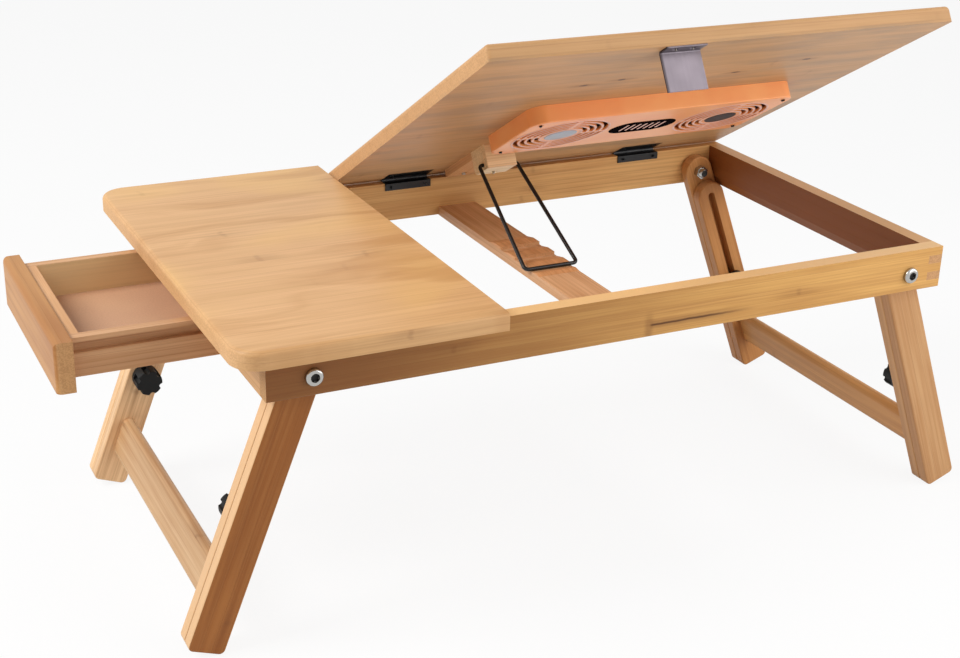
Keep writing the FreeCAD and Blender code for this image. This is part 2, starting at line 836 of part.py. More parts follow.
inner_front_x = box_front_x + drawer_wall
inner_back_x = box_back_x - drawer_wall
inner_near_y = drawer_near_y + drawer_wall
inner_far_y = drawer_far_y - drawer_wall
groove_y = drawer_near_y + groove_depth
drawer_floor = box(
    inner_front_x - drawer_floor_rebate, inner_back_x + drawer_floor_rebate,
    inner_near_y - drawer_floor_rebate, inner_far_y + drawer_floor_rebate,
    drawer_foot_z, floor_z,
)
side_groove = box(
    box_front_x - overlap, box_back_x + overlap,
    drawer_near_y - overlap, groove_y, groove_foot_z, groove_top_z,
)
side_wall = box(box_front_x, box_back_x, drawer_near_y, inner_near_y, drawer_foot_z, drawer_top_z)
side_wall = side_wall.cut([side_groove, drawer_floor])
box_front = box(box_front_x, inner_front_x, inner_near_y, inner_far_y, drawer_foot_z, drawer_top_z)
box_back = box(inner_back_x, box_back_x, inner_near_y, inner_far_y, drawer_foot_z, drawer_top_z)

front_top_z = -drawer_front_top_gap
front_foot_z = front_top_z - drawer_front_height
drawer_front = box(
    box_front_x - drawer_front_thickness, box_front_x,
    mid_y - drawer_front_width / 2, mid_y + drawer_front_width / 2,
    front_foot_z, front_top_z,
)


def shows_on_front(edge):
    """True on the drawer front's outer edges, but for its lower one."""
    return edge.BoundBox.XMax < box_front_x - overlap and not at_height(front_foot_z)(edge)


drawer_front = rounded(drawer_front, drawer_front_rounding, shows_on_front)
drawer_pieces = {
    "drawer_front": drawer_front,
    "drawer_box_front": box_front.cut(drawer_floor),
    "drawer_box_back": box_back.cut(drawer_floor),
    "drawer_side_near": side_wall,
    "drawer_side_far": mirrored_far(side_wall),
    "drawer_floor": drawer_floor,
}
for name, shape in drawer_pieces.items():
    shape.translate(Vector(-drawer_opening, 0, 0))
    keep(name, shape)

# ------------------------------------------------ drawer guides under the fixed top
runner_top_z = groove_top_z - runner_gap
runner_foot_z = groove_foot_z + runner_gap
web_y = drawer_near_y - guide_side_gap
guide_end_x = rail_thickness + guide_length
web = box(rail_thickness, guide_end_x, web_y - guide_web, web_y, runner_foot_z - guide_foot, 0)
runner = box(rail_thickness, guide_end_x, web_y, groove_y - runner_gap, runner_foot_z, runner_top_z)
guide = joined([web, runner])
keep("drawer_guide_near", guide)
keep("drawer_guide_far", mirrored_far(guide))

# ------------------------------------------------ legs, drawn hanging straight down from the pivot
outer_y = near_inner_y + washer_thickness
layer_y = outer_y + leg_thickness
slider_y = layer_y + leg_layer_gap
inside_y = slider_y + leg_thickness


def leg_blank(top_centre, y0, thickness):
    """A leg with a round top about top_centre and a square-cut foot with rounded corners."""
    half = leg_width / 2
    bar = box(-half, half, y0, y0 + thickness, -leg_length, top_centre)
    bar = rounded(bar, foot_radius, lambda edge: along_y(edge) and edge.BoundBox.ZMax < top_centre)
    round_top = rod(half, Vector(0, y0, top_centre), Vector(0, y0 + thickness, top_centre))
    return rounded(joined([bar, round_top]), leg_edge_rounding, across_y)


def on_leg(radius, station, y0, y1):
    """A round bar through the leg's thickness at a station along it."""
    return rod(radius, Vector(0, y0, -station), Vector(0, y1, -station))


knob_y = inside_y + knob_gap
stud = on_leg(stud_radius, stud_station, layer_y - stud_embed, knob_y + knob_bore_depth - knob_gap)
pivot_bore = on_leg(pivot_bolt_radius + running_clearance, 0, outer_y - overlap, layer_y + overlap)
upper_leg = leg_blank(0, outer_y, leg_thickness).cut([pivot_bore, stud])

slot_half = stud_radius + slot_side_gap
slot_low = stud_station + slot_end_gap
slot_high = stud_station - slider_travel - slot_end_gap
slot_span = (slider_y - overlap, inside_y + overlap)
slot = joined([
    box(-slot_half, slot_half, *slot_span, -slot_low, -slot_high),
    on_leg(slot_half, slot_low, *slot_span),
    on_leg(slot_half, slot_high, *slot_span),
])
stretcher_screw = wood_screw(
    stretcher_screw_radius, stretcher_screw_head_radius, stretcher_screw_length,
    Y_AXIS, Vector(0, slider_y, -stretcher_station),
)
sliding_leg = leg_blank(-slider_top - leg_width / 2, slider_y, leg_thickness)
sliding_leg = sliding_leg.cut([slot, stretcher_screw])

half_thick = stretcher_thickness / 2
stretcher_high = stretcher_station - (stretcher_width - stretcher_thickness) / 2
stretcher_low = stretcher_station + (stretcher_width - stretcher_thickness) / 2
stretcher_span = (inside_y, frame_depth - inside_y)
stretcher = joined([
    box(-half_thick, half_thick, *stretcher_span, -stretcher_low, -stretcher_high),
    on_leg(half_thick, stretcher_high, *stretcher_span),
    on_leg(half_thick, stretcher_low, *stretcher_span),
])
stretcher = stretcher.cut([stretcher_screw, mirrored_far(stretcher_screw)])

# ------------------------------------------------ knob
knob_body = on_leg(knob_radius, stud_station, knob_y, knob_y + knob_length)
knob_body = knob_body.makeFillet(knob_rounding, knob_body.Edges[0:1] + knob_body.Edges[2:3])
knob_bore_radius = stud_radius + running_clearance
knob_cuts = [on_leg(knob_bore_radius, stud_station, knob_y - overlap, knob_y + knob_bore_depth)]
for index in range(knob_lobes):
    angle = 2 * math.pi * index / knob_lobes
    centre = Vector(knob_radius * math.cos(angle), 0, -stud_station + knob_radius * math.sin(angle))
    foot = centre + Y_AXIS * (knob_y + knob_collar)
    knob_cuts.append(rod(knob_lobe_radius, foot, centre + Y_AXIS * (knob_y + knob_length + overlap)))
knob = knob_body.cut(knob_cuts)

# ------------------------------------------------ pivot bolt, washer and nut, on the pivot line
bolt_end_y = layer_y + nut_gap + nut_height
bolt_head = on_leg(pivot_head_radius, 0, -pivot_head_height, 0)
bolt_head = rounded(bolt_head, pivot_head_rounding, lambda edge: across_y(edge) and edge.BoundBox.YMax < 0)


def hexagon_bar(width, y0, y1):
    """A six-sided bar along Y, so wide across its flats."""
    corners = []
    for index in range(7):
        angle = math.pi / 3 * index
        reach = width / math.sqrt(3)
        corners.append(Vector(reach * math.cos(angle), y0, reach * math.sin(angle)))
    return Part.Face(Part.makePolygon(corners)).extrude(Vector(0, y1 - y0, 0))


socket_foot_y = pivot_socket_depth - pivot_head_height
socket_cut = hexagon_bar(pivot_socket_size, -pivot_head_height - overlap, socket_foot_y)
pivot_bolt = joined([bolt_head, on_leg(pivot_bolt_radius, 0, 0, bolt_end_y)]).cut(socket_cut)
washer_bore = on_leg(pivot_bolt_radius, 0, near_inner_y - overlap, outer_y + overlap)
washer = on_leg(washer_radius, 0, near_inner_y, outer_y).cut(washer_bore)
nut = hexagon_bar(nut_width, layer_y + nut_gap, bolt_end_y)
nut_cap = Part.makeSphere(nut_cap_radius, Vector(0, bolt_end_y, 0))
nut_face = (-nut_width, nut_width)
nut_cap = nut_cap.common(box(*nut_face, bolt_end_y, bolt_end_y + nut_width, *nut_face))
nut = joined([nut, nut_cap]).cut(on_leg(pivot_bolt_radius, 0, layer_y - overlap, bolt_end_y))


def placed_leg_piece(shape, side, row):
    """Leans a leg piece outwards and moves it to its pivot; the far row is a mirror image."""
    placed = shape.copy()
    placed.rotate(Vector(0, 0, 0), Y_AXIS, leg_lean if side == "left" else -leg_lean)
    placed.translate(Vector(left_pivot_x if side == "left" else right_pivot_x, 0, pivot_z))
    return mirrored_far(placed) if row == "far" else placed


for side in ("left", "right"):
    keep(side + "_stretcher", placed_leg_piece(stretcher, side, "near"))
    for row in ("near", "far"):
        keep(side + "_" + row + "_upper_leg", placed_leg_piece(upper_leg, side, row))
        keep(side + "_" + row + "_sliding_leg", placed_leg_piece(sliding_leg, side, row))
        keep(side + "_" + row + "_knob", placed_leg_piece(knob, side, row))
        keep(side + "_knob_studs", placed_leg_piece(stud, side, row))
        keep(side + "_stretcher_screws", placed_leg_piece(stretcher_screw, side, row))
        keep("pivot_bolts", placed_leg_piece(pivot_bolt, side, row))
        keep("pivot_washers", placed_leg_piece(washer, side, row))
        keep("pivot_nuts", placed_leg_piece(nut, side, row))

# ------------------------------------------------ origin in the middle of the footprint, at the feet
whole = Part.makeCompound(sum(pieces.values(), []))
bounds = whole.optimalBoundingBox(False, False)
to_origin = Vector(-bounds.Center.x, -bounds.Center.y, -bounds.ZMin)

os.makedirs("parts", exist_ok=True)
for name, shapes in pieces.items():
    for shape in shapes:
        shape.translate(to_origin)
    node = shapes[0] if len(shapes) == 1 else Part.makeCompound(shapes)
    node.exportStep("parts/" + name + ".step")

print("size", [round(length, 2) for length in (bounds.XLength, bounds.YLength, bounds.ZLength)])
print("moved by", [round(number, 4) for number in to_origin])
print("nodes", len(pieces))
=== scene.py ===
# %% [markdown]
# # A folding bamboo laptop stand
# The object is a bed desk: a bamboo frame on folding legs, a fixed side top over a drawer, and a
# tilting top that carries a flat case with two fans. The construction arrives as named solids. This
# lesson gives every solid its surface, adds small parts that the solids leave plain, and lights it.

# %% Load the frame
import json
import math

import bmesh
import bpy
from mathutils import Matrix, Vector


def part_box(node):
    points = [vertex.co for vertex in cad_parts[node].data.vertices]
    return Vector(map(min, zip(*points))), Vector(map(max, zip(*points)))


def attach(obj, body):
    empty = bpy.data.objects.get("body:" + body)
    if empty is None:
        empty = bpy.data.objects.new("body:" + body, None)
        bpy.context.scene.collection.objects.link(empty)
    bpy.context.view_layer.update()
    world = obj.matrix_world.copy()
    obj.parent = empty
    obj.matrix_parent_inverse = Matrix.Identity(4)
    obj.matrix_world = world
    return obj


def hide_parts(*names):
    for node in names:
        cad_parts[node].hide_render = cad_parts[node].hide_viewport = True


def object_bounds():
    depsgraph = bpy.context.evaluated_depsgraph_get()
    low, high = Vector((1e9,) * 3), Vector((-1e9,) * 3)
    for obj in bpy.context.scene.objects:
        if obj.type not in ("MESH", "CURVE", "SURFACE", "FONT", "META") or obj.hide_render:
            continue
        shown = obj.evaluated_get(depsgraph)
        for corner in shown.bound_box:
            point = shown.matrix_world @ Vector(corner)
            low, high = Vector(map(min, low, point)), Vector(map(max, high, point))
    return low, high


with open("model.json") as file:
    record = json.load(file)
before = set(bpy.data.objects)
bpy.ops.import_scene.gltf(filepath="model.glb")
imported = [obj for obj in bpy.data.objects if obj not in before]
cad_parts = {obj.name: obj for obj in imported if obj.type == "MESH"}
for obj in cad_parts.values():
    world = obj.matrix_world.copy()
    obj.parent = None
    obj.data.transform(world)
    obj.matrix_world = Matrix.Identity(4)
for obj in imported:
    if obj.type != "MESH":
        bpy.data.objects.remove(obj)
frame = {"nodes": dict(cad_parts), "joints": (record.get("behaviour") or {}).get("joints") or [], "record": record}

cad_low, cad_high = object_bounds()
model_middle = (cad_low + cad_high) / 2
nodes = frame["nodes"]
MM = 0.001
print("solids:", len(nodes), "size in mm:", [round(side / MM, 1) for side in cad_high - cad_low])

# %% [markdown]
# ## Directions of the tilted parts
# The legs lean and the right-hand top is raised, so a pattern drawn along the world's axes would run
# across them at a slant. The joints know the true directions: the slide of each pair of legs points
# along the leg, and the laptop's rest face gives the normal of the raised top.

# %% Axes of the boards and the legs
joints = {joint["name"]: joint for joint in frame["joints"]}
mounts = {mount["name"]: mount for mount in frame["record"]["mounts"]}
X, Y, Z = Vector((1, 0, 0)), Vector((0, 1, 0)), Vector((0, 0, 1))
top_normal = Vector(mounts["laptop_face"]["axis"]).normalized()
top_depth_way = top_normal.cross(X).normalized()
left_leg_way = Vector(joints["left_legs_height"]["axis"]).normalized()
right_leg_way = Vector(joints["right_legs_height"]["axis"]).normalized()
hinge_point = Vector(joints["top_tilt"]["pos_m"])
LEFT_LEG = (left_leg_way, left_leg_way.cross(Y))
RIGHT_LEG = (right_leg_way, right_leg_way.cross(Y))
print("top raised by", round(math.degrees(math.acos(top_normal.z)), 1), "degrees")

# %% [markdown]
# ## The camera
# It stands in front of the left end, a little above the side top, and looks down at the frame. The
# place and the angles are values, so a reader can walk it round. The turn about the line of sight is
# small, as a hand-held camera's is.

# %% Camera
CAMERA_PLACE = Vector((-0.5072, -0.9975, 0.5982))
CAMERA_YAW = math.radians(26.3)
CAMERA_PITCH = math.radians(22.51)
CAMERA_ROLL = math.radians(1.38)
CAMERA_LENS_MM = 59.4


def placed(name, data):
    """An object for a mesh, a lamp or a camera, linked to the scene."""
    made = bpy.data.objects.new(name, data)
    bpy.context.scene.collection.objects.link(made)
    return made


def camera_turn(yaw, pitch, roll):
    """A camera's rotation: yaw to the right of +Y, pitch down, roll to the right."""
    ahead = Vector((math.sin(yaw) * math.cos(pitch), math.cos(yaw) * math.cos(pitch), -math.sin(pitch)))
    right = Vector((math.cos(yaw), -math.sin(yaw), 0))
    up = right.cross(ahead)
    rolled_right = right * math.cos(roll) + up * math.sin(roll)
    rolled_up = up * math.cos(roll) - right * math.sin(roll)
    return Matrix((rolled_right, rolled_up, -ahead)).transposed()


bpy.context.scene.view_settings.view_transform = "Standard"
camera_data = bpy.data.cameras.new("stand_camera")
camera_data.lens = CAMERA_LENS_MM
camera = placed("stand_camera", camera_data)
turn = camera_turn(CAMERA_YAW, CAMERA_PITCH, CAMERA_ROLL)
camera.matrix_world = Matrix.Translation(CAMERA_PLACE) @ turn.to_4x4()
bpy.context.scene.camera = camera
print("camera", round((CAMERA_PLACE - model_middle).length, 2), "m from the stand's middle")

# %% [markdown]
# ## Node maths as plain expressions
# A material or a Geometry Nodes tree is a network, which is hard to read as a list of calls. The
# class below wraps one output socket and overloads the arithmetic signs, so that a pattern can be
# written as a formula. Every expression quietly adds its Math nodes.

# %% A socket that does arithmetic
class Socket:
    """An output socket of a node; arithmetic on it adds Math nodes."""

    def __init__(self, network, socket):
        self.network = network
        self.socket = socket

    def _math(self, operation, *values):
        return self.network.node("ShaderNodeMath", {"operation": operation}, *values)[0]

    def __rsub__(self, other):
        return self._math("SUBTRACT", other, self)

    def hypot(self, other):
        """The long side of a right triangle on two short ones."""
        return (self * self + other * other).power(0.5)

    def ramp(self, start, end):
        """0 at start and before, 1 at end and beyond, and smooth between."""
        settings = {"interpolation_type": "SMOOTHSTEP"}
        return self.network.node("ShaderNodeMapRange", settings, self, start, end)[0]


def math_method(operation):
    """A method that hands a socket and its operands to one Math node."""
    return lambda self, *others: self._math(operation, self, *others)


OPERATIONS = {
    "__add__": "ADD", "__radd__": "ADD", "__sub__": "SUBTRACT", "__mul__": "MULTIPLY",
    "__rmul__": "MULTIPLY", "__truediv__": "DIVIDE", "floor": "FLOOR", "fract": "FRACT",
    "abs": "ABSOLUTE", "power": "POWER", "max": "MAXIMUM", "min": "MINIMUM",
}
for method, operation in OPERATIONS.items():
    setattr(Socket, method, math_method(operation))
print("socket operations:", len(OPERATIONS))


# %% A network that adds its own nodes
class Network:
    """What a material and a Geometry Nodes tree share: adding a node and feeding its sockets."""

    def __init__(self, tree):
        self.tree = tree

    def node(self, kind, settings, *values, **named):
        """Adds a node: its settings first, then values or links by order or by name."""
        made = self.tree.nodes.new(kind)
        for key, value in settings.items():
            setattr(made, key, value)
        sockets = [socket for socket in made.inputs if socket.enabled]
        for socket, value in zip(sockets, values):
            self.feed(socket, value)
        for key, value in named.items():
            self.feed(made.inputs[key.replace("_", " ")], value)
        return [Socket(self, output) for output in made.outputs if output.enabled]

    def feed(self, socket, value):
        """Links a Socket, or each of a list of them, or sets a plain value."""
        if isinstance(value, list):
            for item in value:
                self.feed(socket, item)
        elif isinstance(value, Socket):
            self.tree.links.new(value.socket, socket)
        elif value is not None:
            socket.default_value = value

    def vector(self, x, y, z):
        return self.node("ShaderNodeCombineXYZ", {}, x, y, z)[0]


# %% A material under construction
class Shader(Network):
    """A material with its Principled BSDF."""

    def __init__(self, name):
        self.material = bpy.data.materials.new(name)
        self.material.use_nodes = True
        super().__init__(self.material.node_tree)
        self.surface = self.tree.nodes["Principled BSDF"]

    def set(self, **named):
        """Feeds inputs of the Principled BSDF; Base_Color stands for Base Color."""
        for key, value in named.items():
            self.feed(self.surface.inputs[key.replace("_", " ")], value)

    def mix(self, factor, first, second):
        """A colour between two colours."""
        settings = {"data_type": "RGBA", "clamp_factor": True}
        return self.node("ShaderNodeMix", settings, factor, first, second)[0]

    def coordinates(self):
        """Object coordinates in metres, and the surface's own normal."""
        outputs = self.tree.nodes.new("ShaderNodeTexCoord").outputs
        return Socket(self, outputs["Object"]), Socket(self, outputs["Normal"])

    def along(self, place, way):
        """How far a place lies along a direction."""
        settings = {"operation": "DOT_PRODUCT"}
        return self.node("ShaderNodeVectorMath", settings, place, tuple(way))[0]

    def noise(self, place, scale=1.0, detail=3.0, roughness=0.5):
        named = {"Vector": place, "Scale": scale, "Detail": detail, "Roughness": roughness}
        return self.node("ShaderNodeTexNoise", {}, **named)[0]

    def drawn(self, x, y, z, detail=3.0, roughness=0.5):
        """Noise over three numbers, so that it can be drawn out one way."""
        return self.noise(self.vector(x, y, z), 1.0, detail, roughness)

    def dice(self, place):
        """A random number from 0 to 1 for each whole-number place."""
        return self.node("ShaderNodeTexWhiteNoise", {"noise_dimensions": "3D"}, Vector=place)[0]

    def bump(self, height, distance, strength=1.0):
        return self.node("ShaderNodeBump", {}, Height=height, Distance=distance, Strength=strength)[0]


def srgb(red, green, blue):
    """A colour from 0-255 screen values to the renderer's linear ones."""
    return tuple(((value / 255 + 0.055) / 1.055) ** 2.4 for value in (red, green, blue)) + (1.0,)


# %% [markdown]
# ## Bamboo
# Bamboo board is not sawn from a trunk. Strips of cane are planed and glued side by side, so each
# strip has its own tone, fine straight fibres run its whole length, and every 20 to 40 cm the strip
# crosses a knuckle of the cane, which leaves a faint smudge with a tail along the grain. On the cut
# ends the fibres show as dots. The material below builds those things from three directions: along
# the grain, across the strips, and through the layers. It could be a stretched image instead, but a
# formula keeps its scale on every piece and turns with the piece.

# %% Where a point lies in a glued board
BROAD, MIDDLE, NARROW = 19 * MM, 10 * MM, 8 * MM  # widths of strips
LAYER_DEPTH = 6.1 * MM


class Board:
    """A point's place in a board: along the grain (u), in strips across (v), in layers through (w)."""

    def __init__(self, shader, place, grain, across, strip, seed):
        self.shader = shader
        self.strip = strip
        self.seed = seed
        # the shifts keep glue lines off the origin and give every board other dice
        self.u = shader.along(place, grain)
        self.v = shader.along(place, across) / strip + (seed * 1.37 + 40.5)
        self.w = shader.along(place, grain.cross(across)) / LAYER_DEPTH + (seed * 0.61 + 20.2)
        row, depth = self.v.floor(), self.w.floor()
        self.chance = shader.dice(shader.vector(row, depth, seed))
        self.other_chance = shader.dice(shader.vector(depth, row, seed + 7.0))

    def drawn_out(self, along, shift, across, through, detail, roughness=0.6):
        """Noise with so many features per metre each way; few along the grain make it long."""
        shader = self.shader
        side, layer = self.v * self.strip * across, self.w * LAYER_DEPTH * through
        return shader.drawn(self.u * along + shift, side, layer, detail, roughness)

    def seam(self):
        """1 on the glue lines between strips and layers."""
        edge = ((self.v.fract() - 0.5).abs() * -1.0 + 0.5) * self.strip
        layer_edge = ((self.w.fract() - 0.5).abs() * -1.0 + 0.5) * LAYER_DEPTH
        return 1.0 - edge.min(layer_edge).ramp(0.05 * MM, 0.35 * MM)


# %% [markdown]
# A knuckle shows as a thin line across its strip with a smudge on both sides. Its place along the
# strip is drawn by the strip's dice and wanders a little, and only about every third strip shows one.

# %% Knuckles of the cane
KNUCKLE_SPACING = 270 * MM
KNUCKLE_HALF = 1.6 * MM
KNUCKLE_TAIL = 26 * MM
KNUCKLE_WANDER = 9 * MM


def knuckles(board, streaks, strength):
    """How strongly a point shows a knuckle's line and its smudged tail."""
    shader = board.shader
    side = board.v * board.strip
    wander = shader.drawn(side * 120.0, board.w, board.u * 30.0 + board.seed, 2.0) - 0.5
    share = (board.u / KNUCKLE_SPACING + board.chance * 9.0).fract() - 0.5
    distance = (share * KNUCKLE_SPACING + wander * KNUCKLE_WANDER).abs()
    lane = 1.0 - ((board.v.fract() - 0.5).abs() * 2.0).ramp(0.35, 0.95)
    shown = board.other_chance.ramp(0.5, 0.75) * lane * strength
    line = (1.0 - distance.ramp(KNUCKLE_HALF * 0.2, KNUCKLE_HALF * 1.8)) * shown
    tail = (1.0 - distance.ramp(KNUCKLE_HALF, KNUCKLE_TAIL)) * streaks.ramp(0.3, 0.6) * shown
    return line, tail


# %% [markdown]
# The finish stacks these patterns: strips and clouds set the tone, dark fibres and threads lie over
# it, then come knuckles, seams and whatever marks a board has of its own, and last the cut ends. The
# lacquer is thin and almost dull, and the fibres stand out of it by less than a tenth of a millimetre.

# %% The bamboo finish
FIBRE_TONE = srgb(168, 112, 60)
END_GRAIN_TONE = srgb(222, 178, 130)
MARK_TONE = srgb(116, 72, 40)
BROAD_FIGURE = 0.6  # wide boards are planed from calmer cane
GRAIN_HEIGHT = 0.09 * MM


def bamboo(name, grain, across, light, dark, strip, knuckle_strength, seed, marks):
    """A lacquered bamboo finish: fibres run along grain, and strips lie side by side along across."""
    shader = Shader(name)
    light, dark = srgb(*light), srgb(*dark)
    place, normal = shader.coordinates()
    board = Board(shader, place, grain, across, strip, seed)
    fibres = board.drawn_out(11.0, board.chance * 31.0, 1100.0, 1100.0, 4.0)
    threads = board.drawn_out(7.0, board.chance * 13.0, 420.0, 420.0, 3.0)
    streaks = board.drawn_out(5.0, board.other_chance * 3.0, 140.0, 90.0, 3.0)
    clouds = board.drawn_out(9.0, seed, 24.0, 20.0, 2.0, 0.5)

    tone = board.chance * 0.12 + streaks.ramp(0.32, 0.68) * 0.5 + clouds.ramp(0.3, 0.7) * 0.38
    colour = shader.mix(tone, light, dark)
    figure = BROAD_FIGURE if strip == BROAD else 1.0
    colour = shader.mix((1.0 - threads.ramp(0.3, 0.58)) * 0.34 * figure, colour, FIBRE_TONE)
    colour = shader.mix((1.0 - fibres.ramp(0.34, 0.58)) * 0.24 * figure, colour, FIBRE_TONE)
    knuckle, tail = knuckles(board, streaks, knuckle_strength)
    colour = shader.mix(knuckle * 0.2 + tail * 0.26, colour, MARK_TONE)
    seam = board.seam()
    colour = shader.mix(seam * 0.16, colour, MARK_TONE)
    for mark in marks:
        colour = mark(shader, place, normal, colour)

    end = shader.along(normal, grain).abs().ramp(0.72, 0.93)
    dots = board.drawn_out(30.0, 0.0, 1100.0, 1100.0, 2.0, 0.5).ramp(0.4, 0.62)
    end_colour = shader.mix(dots * 0.3, shader.mix(0.3, END_GRAIN_TONE, light), MARK_TONE)
    colour = shader.mix(end * 0.6, colour, end_colour)

    roughness = 0.44 + (fibres - 0.5) * 0.14 + seam * 0.1 + end * 0.2
    height = fibres * 0.35 + threads * 0.25 + seam * -0.8 + knuckle * 0.5 + dots * end * 0.5
    shader.set(Base_Color=colour, Roughness=roughness, Normal=shader.bump(height, GRAIN_HEIGHT, 0.5))
    shader.set(Coat_Weight=0.05, Coat_Roughness=0.3, Specular_IOR_Level=0.2)
    return shader.material


# %% [markdown]
# ## Marks of single boards
# Some boards have marks of their own, and some faces have painted light and shade. Each mark is a small
# function that takes the colour so far and gives it back marked. The tilting top was glued from older cane:
# its underside is greyer, cloudy, and has four small dark knots in a row. A knot is an ellipse with a
# wobbling rim and a soft halo.

# %% Knots and grey clouds under the tilting top
GREY_CLOUD = srgb(150, 124, 100)
KNOT_TONE = srgb(70, 42, 24)
KNOT_PLACES = ((109, 244), (136, 250), (237, 240), (288, 258))  # mm from the left edge and the hinges
KNOT_HALF = Vector((4.5, 2.2)) * MM
top_left_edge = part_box("tilting_top")[0].x
under_level = min(vertex.co.dot(top_normal) for vertex in nodes["tilting_top"].data.vertices)


def underside_marks(shader, place, normal, colour):
    """Grey clouds and a row of knots on the face that looks down."""
    x = shader.along(place, X) - top_left_edge
    reach = shader.along(place, top_depth_way) * -1.0 + hinge_point.dot(top_depth_way)
    below = 1.0 - (shader.along(place, top_normal) - under_level).ramp(1 * MM, 3 * MM)
    cloud = shader.drawn(x * 9.0, reach * 38.0, 0.0, 3.0, 0.6).ramp(0.42, 0.66)
    colour = shader.mix(cloud * below * 0.5, colour, GREY_CLOUD)
    wobble = shader.drawn(x * 300.0, reach * 300.0, 0.0, 2.0) - 0.5
    for knot_x, knot_reach in KNOT_PLACES:
        dx = (x - knot_x * MM) / KNOT_HALF.x
        dy = (reach - knot_reach * MM) / KNOT_HALF.y
        radius = dx.hypot(dy) + wobble
        halo = (dx * dx * 0.09 + dy * dy * 0.4).power(0.5)
        colour = shader.mix((1.0 - halo.ramp(0.3, 1.2)) * below * 0.35, colour, MARK_TONE)
        colour = shader.mix((1.0 - radius.ramp(0.5, 1.0)) * below * 0.85, colour, KNOT_TONE)
    return colour


print("knots:", len(KNOT_PLACES))

# %% [markdown]
# The wide boards of the fixed top have broad clouds and yellower patches. Elsewhere some faces of a piece
# are painted lighter or darker than the rest of it, as painted light and painted shade for the way light
# falls on them; such a mark asks the surface's normal which way the face looks.

# %% Clouds, patches, and painted light and shade on some faces
CLOUD_TONE = srgb(190, 138, 86)
YELLOW_CANE = srgb(232, 186, 118)
# painted light: the pale tone of the near left legs' edge faces
PAINTED_LIGHT_EDGE = srgb(240, 200, 152)


def top_clouds(shader, place, normal, colour):
    """Broad clouds and yellower patches, as the wide boards of a top have."""
    x = shader.along(place, X)
    y = shader.along(place, Y)
    bend = shader.drawn(x * 6.0, y * 12.0, 9.0, 2.0) * 0.6
    clouds = shader.drawn(x * 5.0, y * 34.0 + bend * 6.0, 2.0, 3.0, 0.6)
    patches = shader.drawn(x * 7.0, y * 9.0, 5.0, 2.0)
    colour = shader.mix(patches.ramp(0.45, 0.65) * 0.45, colour, YELLOW_CANE)
    return shader.mix(clouds.ramp(0.48, 0.68) * 0.55, colour, CLOUD_TONE)


def facing(way, tone, strength, both=False):
    """A mark function: painted light and shade, a tone laid on the faces that look along way, and against it if
    both.
    """

    def faces(shader, place, normal, colour):
        share = shader.along(normal, way)
        looks = share.abs() if both else share
        return shader.mix(looks.ramp(0.5, 0.8) * strength, colour, tone)

    return faces


# %% [markdown]
# Both long rails are darker towards their left ends: painted shade, which on the near rail stands for the
# shadow under the fixed top's overhang. The near rail also has a thin dark split, with a smudge at the left
# end of it: a line at a fixed drop below the rail's top, that noise bends a little.

# %% Painted shade at the rails' left ends, and a split
# tone of the painted shade at the rails' left ends
PAINTED_SHADE_TONE = srgb(116, 66, 32)
SPLIT_START = 273 * MM
SPLIT_END = 364 * MM
SPLIT_DROP = 23.6 * MM
SPLIT_HALF = 1.1 * MM
SPLIT_BEND = 3 * MM
rail_low, rail_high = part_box("near_rail")
rail_length = rail_high.x - rail_low.x


def painted_shade_left(shader, place, normal, colour, start=0.4, end=0.8, strength=0.2):
    """Painted shade towards the rail's left end; start and end are shares of its length."""
    x = shader.along(place, X) - rail_low.x
    return shader.mix((1.0 - x.ramp(start * rail_length, end * rail_length)) * strength, colour, PAINTED_SHADE_TONE)


def rail_marks(shader, place, normal, colour):
    """A dark split in the near rail, with a smudge at its left end, and painted shade towards the rail's left end.
    """
    x = shader.along(place, X) - rail_low.x
    drop = shader.along(place, Z) * -1.0 + rail_high.z
    wobble = (shader.drawn(x * 40.0, 0.0, 3.0) - 0.5) * SPLIT_BEND
    inside = x.ramp(SPLIT_START, SPLIT_START + 3 * MM) * (1.0 - x.ramp(SPLIT_END - 50 * MM, SPLIT_END))
    distance = (drop - SPLIT_DROP + wobble).abs()
    halo = (1.0 - distance.ramp(0.4 * SPLIT_HALF, 4 * SPLIT_HALF)) * inside
    colour = shader.mix(halo * 0.45, colour, MARK_TONE)
    crack = (1.0 - distance.ramp(0.2 * SPLIT_HALF, SPLIT_HALF)) * inside
    colour = shader.mix(crack * 0.85, colour, KNOT_TONE)
    beside = (x - SPLIT_START + wobble).abs()
    smudge = (1.0 - beside.ramp(0.5 * MM, 5 * MM)) * drop.ramp(10 * MM, 24 * MM)
    colour = shader.mix(smudge * 0.4, colour, MARK_TONE)
    # painted shade, strongest at the left end under the fixed top and gone at three quarters of the rail's length
    return painted_shade_left(shader, place, normal, colour, 0.0, 0.74, 0.86)


print("split in the near rail, mm:", round((SPLIT_END - SPLIT_START) / MM))

# %% [markdown]
# ## Which way each piece's grain runs
# A maker cuts every part so that the fibres run its long way. For each wooden piece the table says
# the way of its grain, the way across its strips, a light and a dark tone, the strips' width and how
# strongly the knuckles show. Each piece gets its own seed, so no two neighbours share a strip.

# %% Tones and grain of the wooden pieces
def paint(names, material):
    """Gives named solids one material in every slot."""
    for name in names:
        slots = nodes[name].data.materials
        slots.clear()
        slots.append(material)


